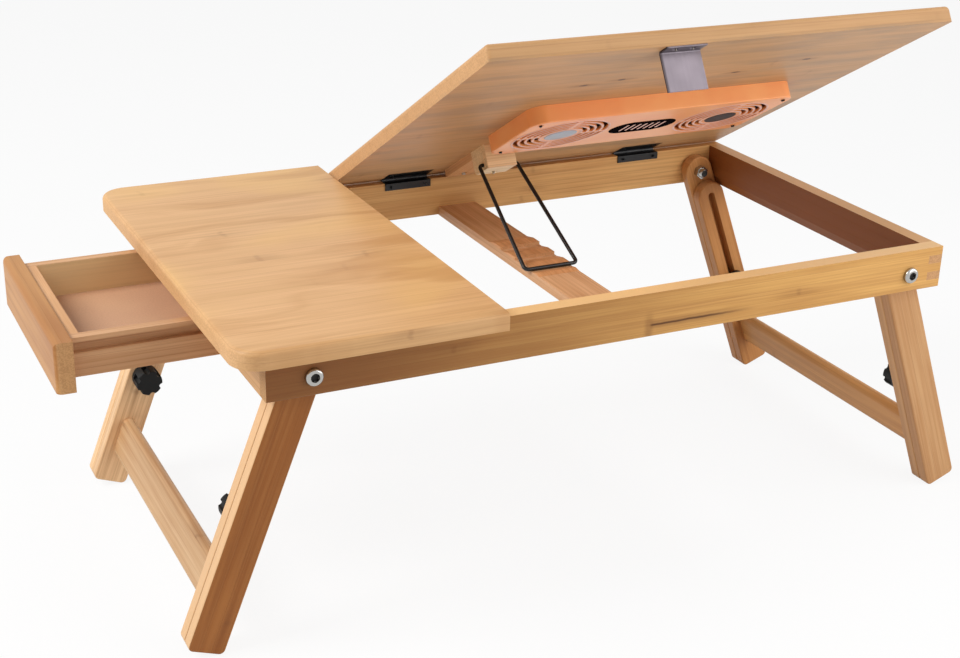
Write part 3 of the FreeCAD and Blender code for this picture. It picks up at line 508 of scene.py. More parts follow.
SEED_STEP = 3.1
APRON = (Y, Z, (220, 172, 115), (196, 147, 92))
GUIDE = (X, Z, (206, 154, 104), (176, 123, 76))
wood = {
    "fixed_top": (X, Y, (226, 180, 130), (214, 168, 117), BROAD, 0.8),
    "tilting_top": (X, top_depth_way, (209, 163, 115), (190, 146, 99), BROAD, 0.8),
    "near_rail": (X, Z, (226, 175, 102), (194, 141, 76), NARROW, 0.9),
    "far_rail": (X, Z, (235, 186, 121), (209, 156, 95), NARROW, 0.8),
    "right_rail": (Y, Z, (190, 136, 88), (150, 102, 62), MIDDLE, 1.0),
    "near_apron": (*APRON, NARROW, 0.5),
    "far_apron": (*APRON, NARROW, 0.5),
    # Notched rail: tones paler than its cane, painted light against the tilting top's shade.
    "notched_rail": (Y, X, (233, 188, 145), (190, 142, 100), NARROW, 1.0),
    "rail_ridges": (Y, X, (233, 176, 124), (195, 136, 89), NARROW, 1.0),
    # Bail block: tones paler than its cane, painted light for faces that lie in shade.
    "bail_block": (X, top_depth_way, (252, 234, 187), (252, 204, 152), NARROW, 0.6),
    "batten": (top_depth_way, X, (232, 178, 127), (205, 151, 103), NARROW, 0.8),
    "drawer_front": (Y, Z, (199, 146, 88), (164, 107, 56), MIDDLE, 1.0),
    "drawer_side_near": (X, Z, (222, 175, 131), (192, 143, 102), NARROW, 1.0),
    "drawer_side_far": (X, Z, (226, 178, 132), (194, 146, 102), NARROW, 1.0),
    "drawer_box_front": (Y, Z, (232, 182, 131), (202, 149, 100), NARROW, 1.0),
    "drawer_box_back": (Y, Z, (206, 154, 104), (172, 121, 76), NARROW, 1.0),
    "drawer_guide_near": (*GUIDE, NARROW, 0.6),
    "drawer_guide_far": (*GUIDE, NARROW, 0.6),
    "left_near_upper_leg": (*LEFT_LEG, (174, 111, 55), (136, 77, 32), NARROW, 0.8),
    "left_near_sliding_leg": (*LEFT_LEG, (171, 108, 54), (132, 72, 30), NARROW, 0.8),
    "left_far_upper_leg": (*LEFT_LEG, (252, 213, 164), (221, 176, 128), NARROW, 1.0),
    "left_far_sliding_leg": (*LEFT_LEG, (252, 217, 170), (220, 178, 134), NARROW, 1.0),
    "right_near_upper_leg": (*RIGHT_LEG, (207, 162, 114), (178, 129, 85), NARROW, 0.8),
    "right_near_sliding_leg": (*RIGHT_LEG, (207, 162, 114), (180, 131, 87), NARROW, 0.8),
    "right_far_upper_leg": (*RIGHT_LEG, (209, 151, 92), (173, 114, 65), NARROW, 1.0),
    "right_far_sliding_leg": (*RIGHT_LEG, (200, 141, 83), (162, 104, 56), NARROW, 1.0),
    "left_stretcher": (Y, left_leg_way, (223, 191, 150), (201, 160, 116), MIDDLE, 1.0),
    "right_stretcher": (Y, right_leg_way, (221, 166, 104), (187, 130, 74), MIDDLE, 1.0),
}
own_marks = {
    "fixed_top": [top_clouds],
    "tilting_top": [underside_marks],
    # Near rail: painted shade at its left end, and its top face painted lighter, painted light on the face that
    # looks up.
    "near_rail": [rail_marks, facing(Z, srgb(243, 201, 144), 0.85)],
    # Far rail: painted shade towards its left end.
    "far_rail": [painted_shade_left],
    # Right rail: top and bottom faces painted lighter, painted light; its left face painted darker, painted shade
    # where the tilting top shades it.
    "right_rail": [
        facing(Z, srgb(222, 172, 112), 0.8, both=True),
        facing(-X, srgb(136, 74, 28), 0.85),
    ],
    # Drawer's far wall: its inner face painted lighter, painted light for a face that lies in the drawer's shade.
    "drawer_side_far": [facing(-Y, srgb(255, 232, 178), 0.6)],
    # Near left legs: edge faces painted pale, painted light on their edges against their darker front faces.
    "left_near_upper_leg": [facing(LEFT_LEG[1], PAINTED_LIGHT_EDGE, 0.75, both=True)],
    "left_near_sliding_leg": [facing(LEFT_LEG[1], PAINTED_LIGHT_EDGE, 0.75, both=True)],
}
for index, (name, row) in enumerate(wood.items()):
    paint([name], bamboo("bamboo_" + name, *row, index * SEED_STEP, own_marks.get(name, [])))
print("bamboo pieces:", len(wood))

# %% [markdown]
# ## The drawer's floor
# The floor is thin fibreboard, not bamboo: even, a little pink, with a fine speckle.

# %% Fibreboard
def fibreboard(name, tone):
    """Plain pressed board with a fine speckle."""
    shader = Shader(name)
    place, _ = shader.coordinates()
    speckle = shader.noise(place, 900.0, 3.0)
    blotch = shader.noise(place, 26.0, 2.0)
    colour = shader.mix((1.0 - speckle.ramp(0.35, 0.6)) * 0.12, tone, MARK_TONE)
    colour = shader.mix(blotch.ramp(0.4, 0.7) * 0.1, colour, srgb(232, 190, 144))
    shader.set(Base_Color=colour, Roughness=0.55 + speckle * 0.1, Normal=shader.bump(speckle, 0.05 * MM, 0.4))
    return shader.material


paint(["drawer_floor"], fibreboard("drawer_fibreboard", srgb(206, 160, 126)))
print("drawer floor painted")

# %% [markdown]
# ## Metal and plastic
# Painted steel has a slight orange-peel, plated steel has fine polishing marks, and moulded plastic
# has a soft, even texture. One function makes all of these: a colour, a metallic share, a roughness
# and the size of its texture.

# %% Metals and plastics
def finish(name, tone, metallic, roughness, scale, depth, spread=0.12, coat=0.0, shine=0.5):
    """A metal or plastic with a fine texture: scale per metre, depth in metres."""
    shader = Shader(name)
    place, _ = shader.coordinates()
    grain = shader.noise(place, scale, 3.0)
    smudge = shader.noise(place, 60.0, 3.0)
    darker = tuple(value * (1 - spread) for value in tone[:3]) + (1.0,)
    shader.set(
        Base_Color=shader.mix(smudge.ramp(0.35, 0.65), tone, darker),
        Roughness=roughness + (smudge - 0.5) * 0.14 + (grain - 0.5) * 0.08,
        Normal=shader.bump(grain, depth, 0.5),
        Metallic=metallic,
        Coat_Weight=coat,
        Coat_Roughness=0.15,
        Specular_IOR_Level=shine,
    )
    return shader.material


black_paint = finish("black_painted_steel", srgb(16, 17, 19), 0.0, 0.4, 700.0, 0.03 * MM, 0.3, 0.1, 0.4)
plated_steel = finish("zinc_plated_steel", srgb(190, 184, 172), 1.0, 0.3, 900.0, 0.02 * MM)
washer_fibre = finish("washer_fibre", srgb(66, 60, 54), 0.0, 0.6, 1200.0, 0.05 * MM)
knob_black = finish("moulded_black", srgb(9, 10, 9), 0.0, 0.55, 1500.0, 0.04 * MM, 0.3, shine=0.25)
motor_grey = finish("motor_grey", srgb(52, 53, 58), 0.0, 0.5, 1100.0, 0.03 * MM)
rotor_brown = finish("rotor_dark_brown", srgb(72, 40, 34), 0.0, 0.45, 900.0, 0.03 * MM, 0.25, 0.1)
hub_blue = finish("hub_grey_blue", srgb(158, 168, 186), 0.0, 0.38, 900.0, 0.03 * MM, coat=0.2)
hub_dark = finish("hub_dark_brown", srgb(58, 44, 44), 0.0, 0.5, 900.0, 0.03 * MM, 0.25, 0.0, 0.2)
print_pink = finish("pale_pink_print", srgb(244, 198, 182), 0.0, 0.5, 800.0, 0.03 * MM, 0.1)
panel_black = finish("panel_black", srgb(20, 17, 18), 0.0, 0.45, 900.0, 0.02 * MM, 0.2, shine=0.0)

# %% [markdown]
# The four pivot bolts are polished, and their hex sockets are painted dark and dull: painted shade in the
# recess. The joints say where the bolts' axes are, so whatever lies close to an axis and looks out of a
# head is inside a socket.

# %% Polished bolts with painted shade in their sockets
SOCKET_HALF = 2.8 * MM
SOCKET_BLUR = 0.4 * MM


def bolt_with_socket_shade(name, tone, dark):
    """Polished metal, dark and dull within a socket's width of a pivot's axis: painted shade in the socket."""
    shader = Shader(name)
    place, _ = shader.coordinates()
    polish = shader.noise(place, 500.0, 3.0)
    # inside is 1 within a socket, where the colour is painted shade
    inside = 0.0
    for side in ("left", "right"):
        pivot = Vector(joints[side + "_legs_fold"]["pos_m"])
        dx = shader.along(place, X) - pivot.x
        dz = shader.along(place, Z) - pivot.z
        radius = dx.hypot(dz)
        inside = (1.0 - radius.ramp(SOCKET_HALF, SOCKET_HALF + SOCKET_BLUR)) + inside
    shader.set(
        Base_Color=shader.mix(inside, tone, dark),
        Roughness=0.14 + polish * 0.06 + inside * 0.5,
        Metallic=1.0 - inside,
        Normal=shader.bump(polish, 0.01 * MM, 0.4),
    )
    return shader.material


bolt_nickel = bolt_with_socket_shade("polished_nickel", srgb(180, 178, 174), srgb(22, 20, 18))
print("sockets darkened within mm:", SOCKET_HALF / MM)

# %% [markdown]
# The stop plate is bare sheet steel, brushed one way, so its texture is drawn out along the sheet. A strip
# along its left edge is painted dark: painted shade of that edge.

# %% Brushed sheet steel
plate_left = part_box("stop_plate")[0].x
# tone of the painted shade along the plate's left edge
EDGE_SHADE_TONE = srgb(60, 52, 54)


def brushed_steel(name, tone, way):
    """Sheet metal with fine scratches that run along way, and painted shade along its left edge."""
    shader = Shader(name)
    place, _ = shader.coordinates()
    side = way.cross(X).normalized()
    across = [shader.along(place, other) * 900.0 for other in (side, way.cross(side))]
    scratches = shader.drawn(shader.along(place, way) * 14.0, *across, 4.0, 0.65)
    smudge = shader.noise(place, 45.0, 3.0)
    darker = tuple(value * 0.75 for value in tone[:3]) + (1.0,)
    # painted shade: darker within a few millimetres of the plate's left edge
    left_edge_shade = shader.along(place, X).ramp(plate_left + 0.5 * MM, plate_left + 2.5 * MM)
    colour = shader.mix(smudge.ramp(0.3, 0.7) * 0.6 + scratches * 0.3, tone, darker)
    shader.set(
        Base_Color=shader.mix((1.0 - left_edge_shade) * 0.8, colour, EDGE_SHADE_TONE),
        Roughness=0.34 + scratches * 0.16 + smudge * 0.08,
        Normal=shader.bump(scratches, 0.02 * MM, 0.4),
        Metallic=0.85,
    )
    return shader.material


plate_steel = brushed_steel("brushed_plate_steel", srgb(130, 121, 128), top_normal)

# %% [markdown]
# ## The orange fan case
# The case is moulded in orange with a satin skin. Round the grilles it is a little paler and pinker
# with dust, so the colour depends on the distance from each fan's axis, the joint that it spins on.

# %% Orange plastic
GRILLE_RADIUS = 36.5 * MM
GRILLE_HUB_RADIUS = 15 * MM
GRILLE_SLOT_COUNT = 4
GRILLE_SLOT_WIDTH = 3.2 * MM
CASE_LIGHT, CASE_DARK, CASE_DUST = srgb(255, 174, 104), srgb(250, 156, 88), srgb(238, 176, 144)
fan_points = {side: Vector(joints[side + "_fan_spin"]["pos_m"]) for side in ("left", "right")}


def orange_case():
    """Orange plastic, paler round both fans on the face that looks down."""
    shader = Shader("orange_case")
    place, normal = shader.coordinates()
    grain = shader.noise(place, 1300.0, 2.0)
    smudge = shader.noise(place, 18.0, 3.0)
    colour = shader.mix(smudge.ramp(0.3, 0.7), CASE_LIGHT, CASE_DARK)
    below = (shader.along(normal, top_normal) * -1.0).ramp(0.6, 0.9)
    for point in fan_points.values():
        dx = shader.along(place, X) - point.dot(X)
        dy = shader.along(place, top_depth_way) - point.dot(top_depth_way)
        radius = dx.hypot(dy)
        dust = 1.0 - radius.ramp(GRILLE_RADIUS * 0.8, GRILLE_RADIUS * 1.35)
        colour = shader.mix(dust * below * (0.15 + smudge * 0.3), colour, CASE_DUST)
    shader.set(Base_Color=colour, Roughness=0.36 + grain * 0.1, Normal=shader.bump(grain, 0.04 * MM, 0.4))
    shader.set(Coat_Weight=0.2, Coat_Roughness=0.2)
    return shader.material


case_orange = orange_case()

# %% Materials on the hardware
hardware = [
    (black_paint, ["hinge_rail_leaves", "hinge_top_leaves", "hinge_pins", "bail"]),
    (bolt_nickel, ["pivot_bolts", "pivot_nuts", "left_knob_studs", "right_knob_studs"]),
    (washer_fibre, ["pivot_washers"]),
    (plate_steel, ["stop_plate", "power_socket"]),
    (case_orange, ["fan_case"]),
    (motor_grey, ["fan_motors", "fan_clips"]),
    (rotor_brown, ["left_fan_rotor", "right_fan_rotor"]),
    (knob_black, [name for name in nodes if name.endswith("_knob")]),
]
for material, names in hardware:
    paint(names, material)
print("hardware nodes:", sum(len(names) for _, names in hardware))

# %% [markdown]
# ## Small forms that repeat
# Screws, printed rings and the ribs of a panel repeat, so each is drawn once in a Geometry Nodes tree
# and laid on points. A tree has named inputs for its sizes, so one tree serves every screw. A point
# says where a copy goes, and its out_way attribute which way the copy's Z axis looks. Python could
# copy them too, but a tree keeps the form and the placing apart and is quick to change.

# %% A Geometry Nodes tree under construction
class Recipe(Network):
    """A tree that draws one form and lays it on an object's points."""

    def __init__(self, name, *size_names):
        super().__init__(bpy.data.node_groups.new(name, "GeometryNodeTree"))
        interface = self.tree.interface
        interface.new_socket("Geometry", in_out="INPUT", socket_type="NodeSocketGeometry")
        for size_name in size_names:
            interface.new_socket(size_name, in_out="INPUT", socket_type="NodeSocketFloat")
        interface.new_socket("Material", in_out="INPUT", socket_type="NodeSocketMaterial")
        interface.new_socket("Geometry", in_out="OUTPUT", socket_type="NodeSocketGeometry")
        entry = self.tree.nodes.new("NodeGroupInput")
        self.given = {socket.name: Socket(self, socket) for socket in entry.outputs}

    def form(self, kind, *values, settings=None, **named):
        """The first output of a new Geometry Nodes node."""
        return self.node("GeometryNode" + kind, settings or {}, *values, **named)[0]

    def moved(self, shape, place=(0, 0, 0), scale=(1, 1, 1)):
        return self.form("Transform", Geometry=shape, Translation=place, Scale=scale)

    def lay(self, shape, turn_seed=None):
        """Lays the shape on the points, looking along out_way, and ends the tree."""
        way = self.form("InputNamedAttribute", "out_way", settings={"data_type": "FLOAT_VECTOR"})
        facing = self.node("FunctionNodeAlignRotationToVector", {"axis": "Z"}, Vector=way)[0]
        if turn_seed is not None:
            values = (0.0, math.tau, None, turn_seed)
            angle = self.node("FunctionNodeRandomValue", {"data_type": "FLOAT"}, *values)[0]
            spin = self.node("FunctionNodeAxisAngleToRotation", {}, (0, 0, 1), angle)[0]
            facing = self.node("FunctionNodeRotateRotation", {"rotation_space": "LOCAL"}, facing, spin)[0]
        laid = self.form("InstanceOnPoints", Points=self.given["Geometry"], Instance=shape, Rotation=facing)
        real = self.form("RealizeInstances", laid)
        dressed = self.form("SetMaterial", Geometry=real, Material=self.given["Material"])
        self.feed(self.tree.nodes.new("NodeGroupOutput").inputs["Geometry"], dressed)


# %% From a tree to a plain mesh
SMOOTH_BELOW = math.radians(32)


def smoothed(mesh):
    """Smooth shading that leaves true edges sharp."""
    mesh.shade_smooth()
    mesh.set_sharp_from_angle(angle=SMOOTH_BELOW)


def finished(work, name, material):
    """Turns a closed bmesh into a piece of one material."""
    bmesh.ops.recalc_face_normals(work, faces=work.faces)
    mesh = bpy.data.meshes.new(name)
    work.to_mesh(mesh)
    work.free()
    mesh.materials.append(material)
    smoothed(mesh)
    print(name, "faces:", len(mesh.polygons))
    return placed(name, mesh)


def grown(name, recipe, points, ways, **given):
    """Runs a recipe over points and keeps the result as a plain mesh object."""
    mesh = bpy.data.meshes.new(name)
    mesh.from_pydata([tuple(point) for point in points], [], [])
    attribute = mesh.attributes.new("out_way", "FLOAT_VECTOR", "POINT")
    for item, way in zip(attribute.data, ways):
        item.vector = way
    piece = placed(name, mesh)
    modifier = piece.modifiers.new("recipe", "NODES")
    modifier.node_group = recipe.tree
    for item in recipe.tree.interface.items_tree:
        key = item.name.replace(" ", "_")
        if item.in_out == "INPUT" and key in given:
            modifier[item.identifier] = given[key]
    depsgraph = bpy.context.evaluated_depsgraph_get()
    result = bpy.data.meshes.new_from_object(piece.evaluated_get(depsgraph))
    piece.modifiers.clear()
    piece.data = result
    smoothed(result)
    print(name, "faces:", len(result.polygons))
    return piece


# %% [markdown]
# ## Screws with cross recesses
# The wood screws of the frame are bare cones. A real one has a slightly domed head with a cross
# recess, and no two are driven to the same turn. The tree draws a head, hollows the cross out of it
# with a Boolean, adds the shank and turns every copy by its own angle. Places and radii are read
# from the solids, so the new screws sit where the old ones were and stand in for them.

# %% The screw tree
HEAD_SEGMENTS = 32
HEAD_RINGS = 5
CROSS_REACH, CROSS_WIDTH, CROSS_DEPTH = 1.15, 0.24, 0.7  # shares of the head's radius and height
SHANK_START = 0.9  # the shank begins inside the head, at this share of its height
DRIVEN_SEED = 7
SCREW_SIZES = ("Head radius", "Neck radius", "Head height", "Dome", "Shank radius", "Shank length")
screw_recipe = Recipe("screw", *SCREW_SIZES)


def draw_screw(recipe):
    """A head from z = -height to 0, domed above, with a cross recess, on a shank below."""
    given = recipe.given
    settings = {"fill_type": "TRIANGLE_FAN"}
    sizes = (given["Head radius"], given["Neck radius"], given["Head height"])
    head = recipe.form("MeshCone", HEAD_SEGMENTS, 1, HEAD_RINGS, *sizes, settings=settings)
    place = recipe.form("InputPosition")
    x, y, z = recipe.node("ShaderNodeSeparateXYZ", {}, place)
    radius = x.hypot(y) / given["Head radius"]
    on_top = z.ramp(given["Head height"] * 0.98, given["Head height"] * 0.99)
    rise = given["Dome"] * (1.0 - radius * radius) * on_top
    head = recipe.form("SetPosition", Geometry=head, Offset=recipe.vector(0.0, 0.0, rise))
    arm = given["Head radius"] * CROSS_REACH
    blade = given["Head radius"] * CROSS_WIDTH
    deep = given["Head height"] * CROSS_DEPTH + given["Dome"]
    crosses = []
    for size in (recipe.vector(arm, blade, deep * 2.0), recipe.vector(blade, arm, deep * 2.0)):
        bar = recipe.form("MeshCube", size)
        crosses.append(recipe.moved(bar, recipe.vector(0.0, 0.0, given["Head height"] + given["Dome"])))
    head = recipe.form("MeshBoolean", settings={"operation": "DIFFERENCE"}, Mesh_1=head, Mesh_2=crosses)
    head = recipe.moved(head, recipe.vector(0.0, 0.0, given["Head height"] * -1.0))
    sizes = (given["Shank radius"], given["Shank length"])
    shank = recipe.form("MeshCylinder", HEAD_SEGMENTS // 2, 1, 1, *sizes, settings=settings)
    drop = (given["Head height"] * SHANK_START + given["Shank length"] * 0.5) * -1.0
    shank = recipe.moved(shank, recipe.vector(0.0, 0.0, drop))
    recipe.lay(recipe.form("JoinGeometry", [head, shank]), turn_seed=DRIVEN_SEED)


draw_screw(screw_recipe)


# %% Reading screws from their solids
def separate_forms(mesh):
    """The points of each closed form in a mesh, as lists."""
    work = bmesh.new()
    work.from_mesh(mesh)
    bmesh.ops.remove_doubles(work, verts=work.verts, dist=0.001 * MM)
    waiting = set(work.verts)
    forms = []
    while waiting:
        edge_of_form = [waiting.pop()]
        form = []
        while edge_of_form:
            vertex = edge_of_form.pop()
            form.append(vertex.co.copy())
            linked = {edge.other_vert(vertex) for edge in vertex.link_edges} & waiting
            waiting -= linked
            edge_of_form.extend(linked)
        forms.append(form)
    work.free()
    return sorted(forms, key=lambda form: tuple(round(value, 5) for value in min(form, key=lambda p: p.x)))


def rim(form, way, at_end):
    """The middle and radius of a form's end face along way."""
    level = at_end(point.dot(way) for point in form)
    ring = [point for point in form if abs(point.dot(way) - level) < 0.01 * MM]
    middle = sum(ring, Vector()) / len(ring)
    return middle, max((point - middle).length for point in ring)


def merged(pieces):
    """Joins pieces of one material into the first of them."""
    work = bmesh.new()
    for piece in pieces:
        work.from_mesh(piece.data)
    work.to_mesh(pieces[0].data)
    work.free()
    for piece in pieces[1:]:
        bpy.data.objects.remove(piece)
    return pieces[0]


PAN_HEIGHT, PAN_NECK = 0.55, 0.96  # a pan head's height and foot, as shares of its radius
bodies = frame["record"]["behaviour"]["bodies"]
body_of = {node: body for body, members in bodies.items() for node in members}


def dressed_screws(node, material, out_ways, dome, pan):
    """Screws with cross recesses in place of a node's plain ones, grown in sets of one length."""
    sets = {}
    for form in separate_forms(nodes[node].data):
        centre = sum(form, Vector()) / len(form)
        way = max(out_ways, key=lambda option: (centre - model_middle).dot(option))
        (face, head_radius), (tip, shank_radius) = rim(form, way, max), rim(form, way, min)
        length = round((face - tip).dot(way) / MM, 1) * MM
        sets.setdefault(length, []).append((face, way))
    height = head_radius * PAN_HEIGHT if pan else head_radius - shank_radius
    pieces = []
    for length, places in sets.items():
        pieces.append(grown(
            "crossed_" + node, screw_recipe, *zip(*places),
            Head_radius=head_radius, Neck_radius=head_radius * PAN_NECK if pan else shank_radius,
            Head_height=height, Dome=dome, Shank_radius=shank_radius,
            Shank_length=length - height * SHANK_START, Material=material,
        ))
    piece = merged(pieces)
    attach(piece, body_of[node])
    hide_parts(node)


# %% [markdown]
# Each group of screws looks out along one way: down from the tilting top, along +Y or -Y through the
# legs, and towards the user through the hinge tabs. Each rides on its node's body, so the screws of
# the top swing with the top.

# %% Every screw of the stand
down_from_top = -top_normal
for node, material, out_ways, dome, pan in (
    ("hinge_top_screws", black_paint, [down_from_top], 0.15, False),
    ("hinge_tab_screws", black_paint, [-Y], 0.25, True),
    ("batten_screws", plated_steel, [down_from_top], 0.15, False),
    ("fan_case_screws", black_paint, [down_from_top], 0.1, False),
    ("stop_plate_screws", plated_steel, [down_from_top], 0.15, False),
    ("left_stretcher_screws", plated_steel, [Y, -Y], 0.2, False),
    ("right_stretcher_screws", plated_steel, [Y, -Y], 0.2, False),
):
    dressed_screws(node, material, out_ways, dome * MM, pan)

# %% [markdown]
# ## Printed rings on the grilles
# Between the slots of each grille the case carries pale pink rings, a fraction of a millimetre proud.
# All rings have one section, so the tree scales bare circles first and then sweeps the section along
# them; scaling finished rings would make the outer ones thicker.

# %% The ring tree
RING_COUNT = GRILLE_SLOT_COUNT + 1
RING_PITCH = (GRILLE_RADIUS - GRILLE_HUB_RADIUS) / GRILLE_SLOT_COUNT
RING_WIDTH = 1.5 * MM
RING_HEIGHT = 0.3 * MM
CIRCLE_SIDES = 96
ring_recipe = Recipe("rings", "First radius", "Pitch", "Width", "Height")


def draw_rings(recipe):
    """Circles at even pitch, swept with a flat section."""
    given = recipe.given
    dots = recipe.form("MeshLine", RING_COUNT, (0, 0, 0), (0, 0, 0), settings={"mode": "OFFSET"})
    index = recipe.form("InputIndex")
    radius = given["First radius"] + given["Pitch"] * index
    circle = recipe.form("CurvePrimitiveCircle", CIRCLE_SIDES, 1.0)
    wide = recipe.vector(radius, radius, 1.0)
    circles = recipe.form("InstanceOnPoints", Points=dots, Instance=circle, Scale=wide)
    circles = recipe.form("RealizeInstances", circles)
    sizes = (given["Width"], given["Height"])
    section = recipe.form("CurvePrimitiveQuadrilateral", *sizes, settings={"mode": "RECTANGLE"})
    rings = recipe.form("CurveToMesh", Curve=circles, Profile_Curve=section)
    recipe.lay(rings)


draw_rings(ring_recipe)

# %% Rings round both fans
case_level = min(vertex.co.dot(top_normal) for vertex in nodes["fan_case"].data.vertices)
SINK = 0.05 * MM


def on_case(point, proud=0.0):
    """A point moved along the board's normal onto the case's lower face, and proud of it."""
    return point + top_normal * (case_level - point.dot(top_normal) - proud)


ring_places = [on_case(point, RING_HEIGHT / 2 - SINK) for point in fan_points.values()]
land = RING_PITCH - GRILLE_SLOT_WIDTH
grille_rings = grown(
    "grille_rings", ring_recipe, ring_places, [down_from_top] * 2,
    First_radius=GRILLE_HUB_RADIUS + land / 2, Pitch=RING_PITCH,
    Width=RING_WIDTH, Height=RING_HEIGHT, Material=print_pink,
)
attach(grille_rings, "tilting_top")

# %% [markdown]
# ## Hub discs
# In the middle of each grille sits a thin cap, grey-blue on the left and dark on the right. It is a
# turned form: an outline of radius and height, spun round the fan's axis, with few points, because
# only its rim is rounded.

# %% Turned forms
SPIN_STEPS = 64


def turned(name, outline, middle, way, material):
    """A closed form of revolution from (radius, height) points, both ends on the axis."""
    work = bmesh.new()
    upright = way.to_track_quat("Z", "Y").to_matrix()
    rings = []
    for radius, height in outline:
        count = 1 if radius == 0 else SPIN_STEPS
        angles = [math.tau * step / count for step in range(count)]
        ring = [Vector((radius * math.cos(angle), radius * math.sin(angle), height)) for angle in angles]
        rings.append([work.verts.new(middle + upright @ point) for point in ring])
    for inner, outer in zip(rings, rings[1:]):
        for step in range(SPIN_STEPS):
            corners = []
            for ring, at in ((inner, step), (inner, step + 1), (outer, step + 1), (outer, step)):
                corner = ring[at % len(ring)]
                if corner not in corners:
                    corners.append(corner)
            work.faces.new(corners)
    return finished(work, name, material)


# %% Two hub discs
HUB_RADIUS = 12.6 * MM
HUB_HEIGHT = 0.34 * MM
hub_outline = [
    (0, -SINK), (HUB_RADIUS, -SINK), (HUB_RADIUS, HUB_HEIGHT * 0.5),
    (HUB_RADIUS - 0.15 * MM, HUB_HEIGHT * 0.85), (HUB_RADIUS - 0.5 * MM, HUB_HEIGHT), (0, HUB_HEIGHT),
]
for side, material in (("left", hub_blue), ("right", hub_dark)):
    disc = turned(side + "_hub_disc", hub_outline, on_case(fan_points[side]), down_from_top, material)
    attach(disc, "tilting_top")

# %% [markdown]
# ## The panel between the fans
# Between the grilles lies a dark round-ended panel with pale ribs across it. The panel is one flat
# outline of two half circles, raised and bevelled; the ribs are one rod, flattened and laid by a tree.

# %% The panel's base
PANEL_LENGTH = 56 * MM
PANEL_WIDTH = 30 * MM
PANEL_HEIGHT = 0.2 * MM
PANEL_RIM = 0.08 * MM
ARC_STEPS = 20
panel_middle = on_case((fan_points["left"] + fan_points["right"]) / 2)


def stadium_panel(name, length, width, height, material):
    """A round-ended plate on the case's lower face."""
    half_run = (length - width) / 2
    outline = []
    for middle_x, first in ((half_run, -90), (-half_run, 90)):
        for step in range(ARC_STEPS + 1):
            angle = math.radians(first + 180 * step / ARC_STEPS)
            outline.append((middle_x + width / 2 * math.cos(angle), width / 2 * math.sin(angle)))
    work = bmesh.new()
    base = panel_middle + top_normal * SINK
    corners = [work.verts.new(base + X * x + top_depth_way * y) for x, y in outline]
    face = work.faces.new(corners)
    grown_face = bmesh.ops.extrude_face_region(work, geom=[face])
    raised = [item for item in grown_face["geom"] if isinstance(item, bmesh.types.BMVert)]
    bmesh.ops.translate(work, verts=raised, vec=down_from_top * (height + SINK))
    top_edges = [edge for edge in work.edges if all(vertex in raised for vertex in edge.verts)]
    bmesh.ops.bevel(work, geom=top_edges, offset=PANEL_RIM, segments=2, affect="EDGES")
    return finished(work, name, material)


panel = stadium_panel("case_panel", PANEL_LENGTH, PANEL_WIDTH, PANEL_HEIGHT, panel_black)
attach(panel, "tilting_top")

# %% The rib tree
RIB_COUNT = 7
RIB_PITCH = 5.4 * MM
RIB_LENGTH = 16 * MM
RIB_RADIUS = 0.9 * MM
RIB_FLATNESS = 0.16
RIB_SIDES = 16
rib_recipe = Recipe("ribs", "Length", "Radius", "Flatness")


def draw_rib(recipe):
    """A flattened rod along Y."""
    given = recipe.given
    half = given["Length"] * 0.5
    start, end = recipe.vector(0.0, half * -1.0, 0.0), recipe.vector(0.0, half, 0.0)
    line = recipe.form("CurvePrimitiveLine", start, end)
    section = recipe.form("CurvePrimitiveCircle", RIB_SIDES, given["Radius"])
    rod = recipe.form("CurveToMesh", Curve=line, Profile_Curve=section, Fill_Caps=True)
    recipe.lay(recipe.moved(rod, scale=recipe.vector(1.0, 1.0, given["Flatness"])))


draw_rib(rib_recipe)
rib_places = [
    panel_middle + down_from_top * PANEL_HEIGHT + X * RIB_PITCH * (index - (RIB_COUNT - 1) / 2)
    for index in range(RIB_COUNT)
]
panel_ribs = grown(
    "panel_ribs", rib_recipe, rib_places, [down_from_top] * RIB_COUNT,
    Length=RIB_LENGTH, Radius=RIB_RADIUS, Flatness=RIB_FLATNESS, Material=print_pink,
)
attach(panel_ribs, "tilting_top")

# %% [markdown]
# ## Floor, background and light
# A white sweep would bounce too much light under the desk, so the floor is plain and pale, and only
# what the camera and polished metal see of it is lifted to white. Of the two lamps, a broad one high
# on the left lights the upper faces and those that look left, and a softer one low on the right
# lights the rail and the legs, more at their right end than at their left.

# %% Floor
FLOOR_HALF = 6.0
FLOOR_GLOW = 0.89
FLOOR_GREY = (0.86, 0.86, 0.86, 1)
WHITE = (1, 1, 1, 1)
floor_mesh = bpy.data.meshes.new("floor")
corner_signs = ((-1, -1), (1, -1), (1, 1), (-1, 1))
floor_mesh.from_pydata([(x * FLOOR_HALF, y * FLOOR_HALF, 0) for x, y in corner_signs], [], [(0, 1, 2, 3)])
floor = placed("floor", floor_mesh)


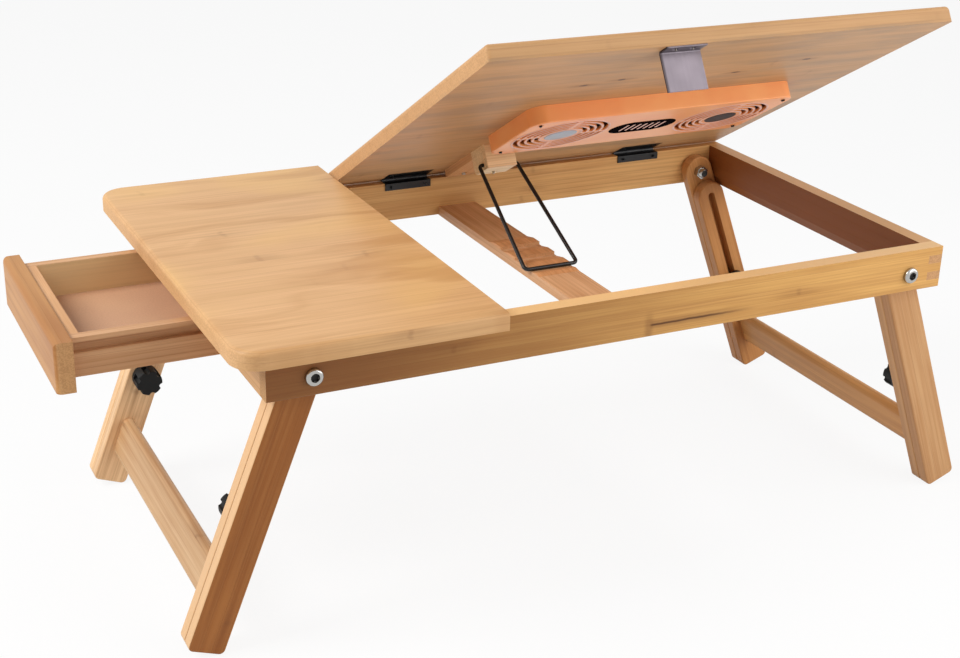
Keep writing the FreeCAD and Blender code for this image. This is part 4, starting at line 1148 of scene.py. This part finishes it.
def seen_directly(network):
    """1 for what the camera, polished metal or glass sees, 0 for light that bounces."""
    outputs = network.tree.nodes.new("ShaderNodeLightPath").outputs
    keys = ("Is Camera Ray", "Is Glossy Ray", "Is Transmission Ray")
    kinds = [Socket(network, outputs[key]) for key in keys]
    return kinds[0].max(kinds[1]).max(kinds[2])


def pale_floor():
    """Pale floor that reads as white and still shows the desk's shadow."""
    shader = Shader("pale_floor")
    shader.set(Base_Color=FLOOR_GREY, Roughness=0.9, Specular_IOR_Level=0.0)
    glow = shader.node("ShaderNodeEmission", {}, WHITE, 1.0)[0]
    diffuse = Socket(shader, shader.surface.outputs[0])
    mixed = shader.node("ShaderNodeMixShader", {}, seen_directly(shader) * FLOOR_GLOW, diffuse, glow)[0]
    shader.feed(shader.tree.nodes["Material Output"].inputs["Surface"], mixed)
    return shader.material


floor_mesh.materials.append(pale_floor())
print("floor side in m:", 2 * FLOOR_HALF)

# %% World
WORLD_LEVEL = 0.38
world = bpy.data.worlds.new("plain_room")
bpy.context.scene.world = world
world.use_nodes = True
room = Network(world.node_tree)
ambient = room.tree.nodes["Background"]
ambient.inputs["Color"].default_value = WHITE
ambient.inputs["Strength"].default_value = WORLD_LEVEL
backdrop = room.node("ShaderNodeBackground", {}, WHITE, 1.0)[0]
lit = Socket(room, ambient.outputs[0])
both = room.node("ShaderNodeMixShader", {}, seen_directly(room), lit, backdrop)[0]
room.feed(room.tree.nodes["World Output"].inputs["Surface"], both)
print("ambient light:", WORLD_LEVEL)


# %% Lamps
def soft_lamp(name, place, target, size, power):
    """A square area lamp that looks at target."""
    data = bpy.data.lights.new(name, "AREA")
    data.size = size
    data.energy = power
    lamp = placed(name, data)
    aim = (Vector(target) - Vector(place)).to_track_quat("-Z", "Y")
    lamp.matrix_world = Matrix.Translation(Vector(place)) @ aim.to_matrix().to_4x4()
    print(name, "watts:", power)


soft_lamp("high_left", place=(-1.5, 0.1, 1.5), target=(0, 0, 0.2), size=0.9, power=30.0)
soft_lamp("low_right", place=(0.8, -0.75, 0.6), target=(0.15, -0.1, 0.2), size=1.1, power=9.0)
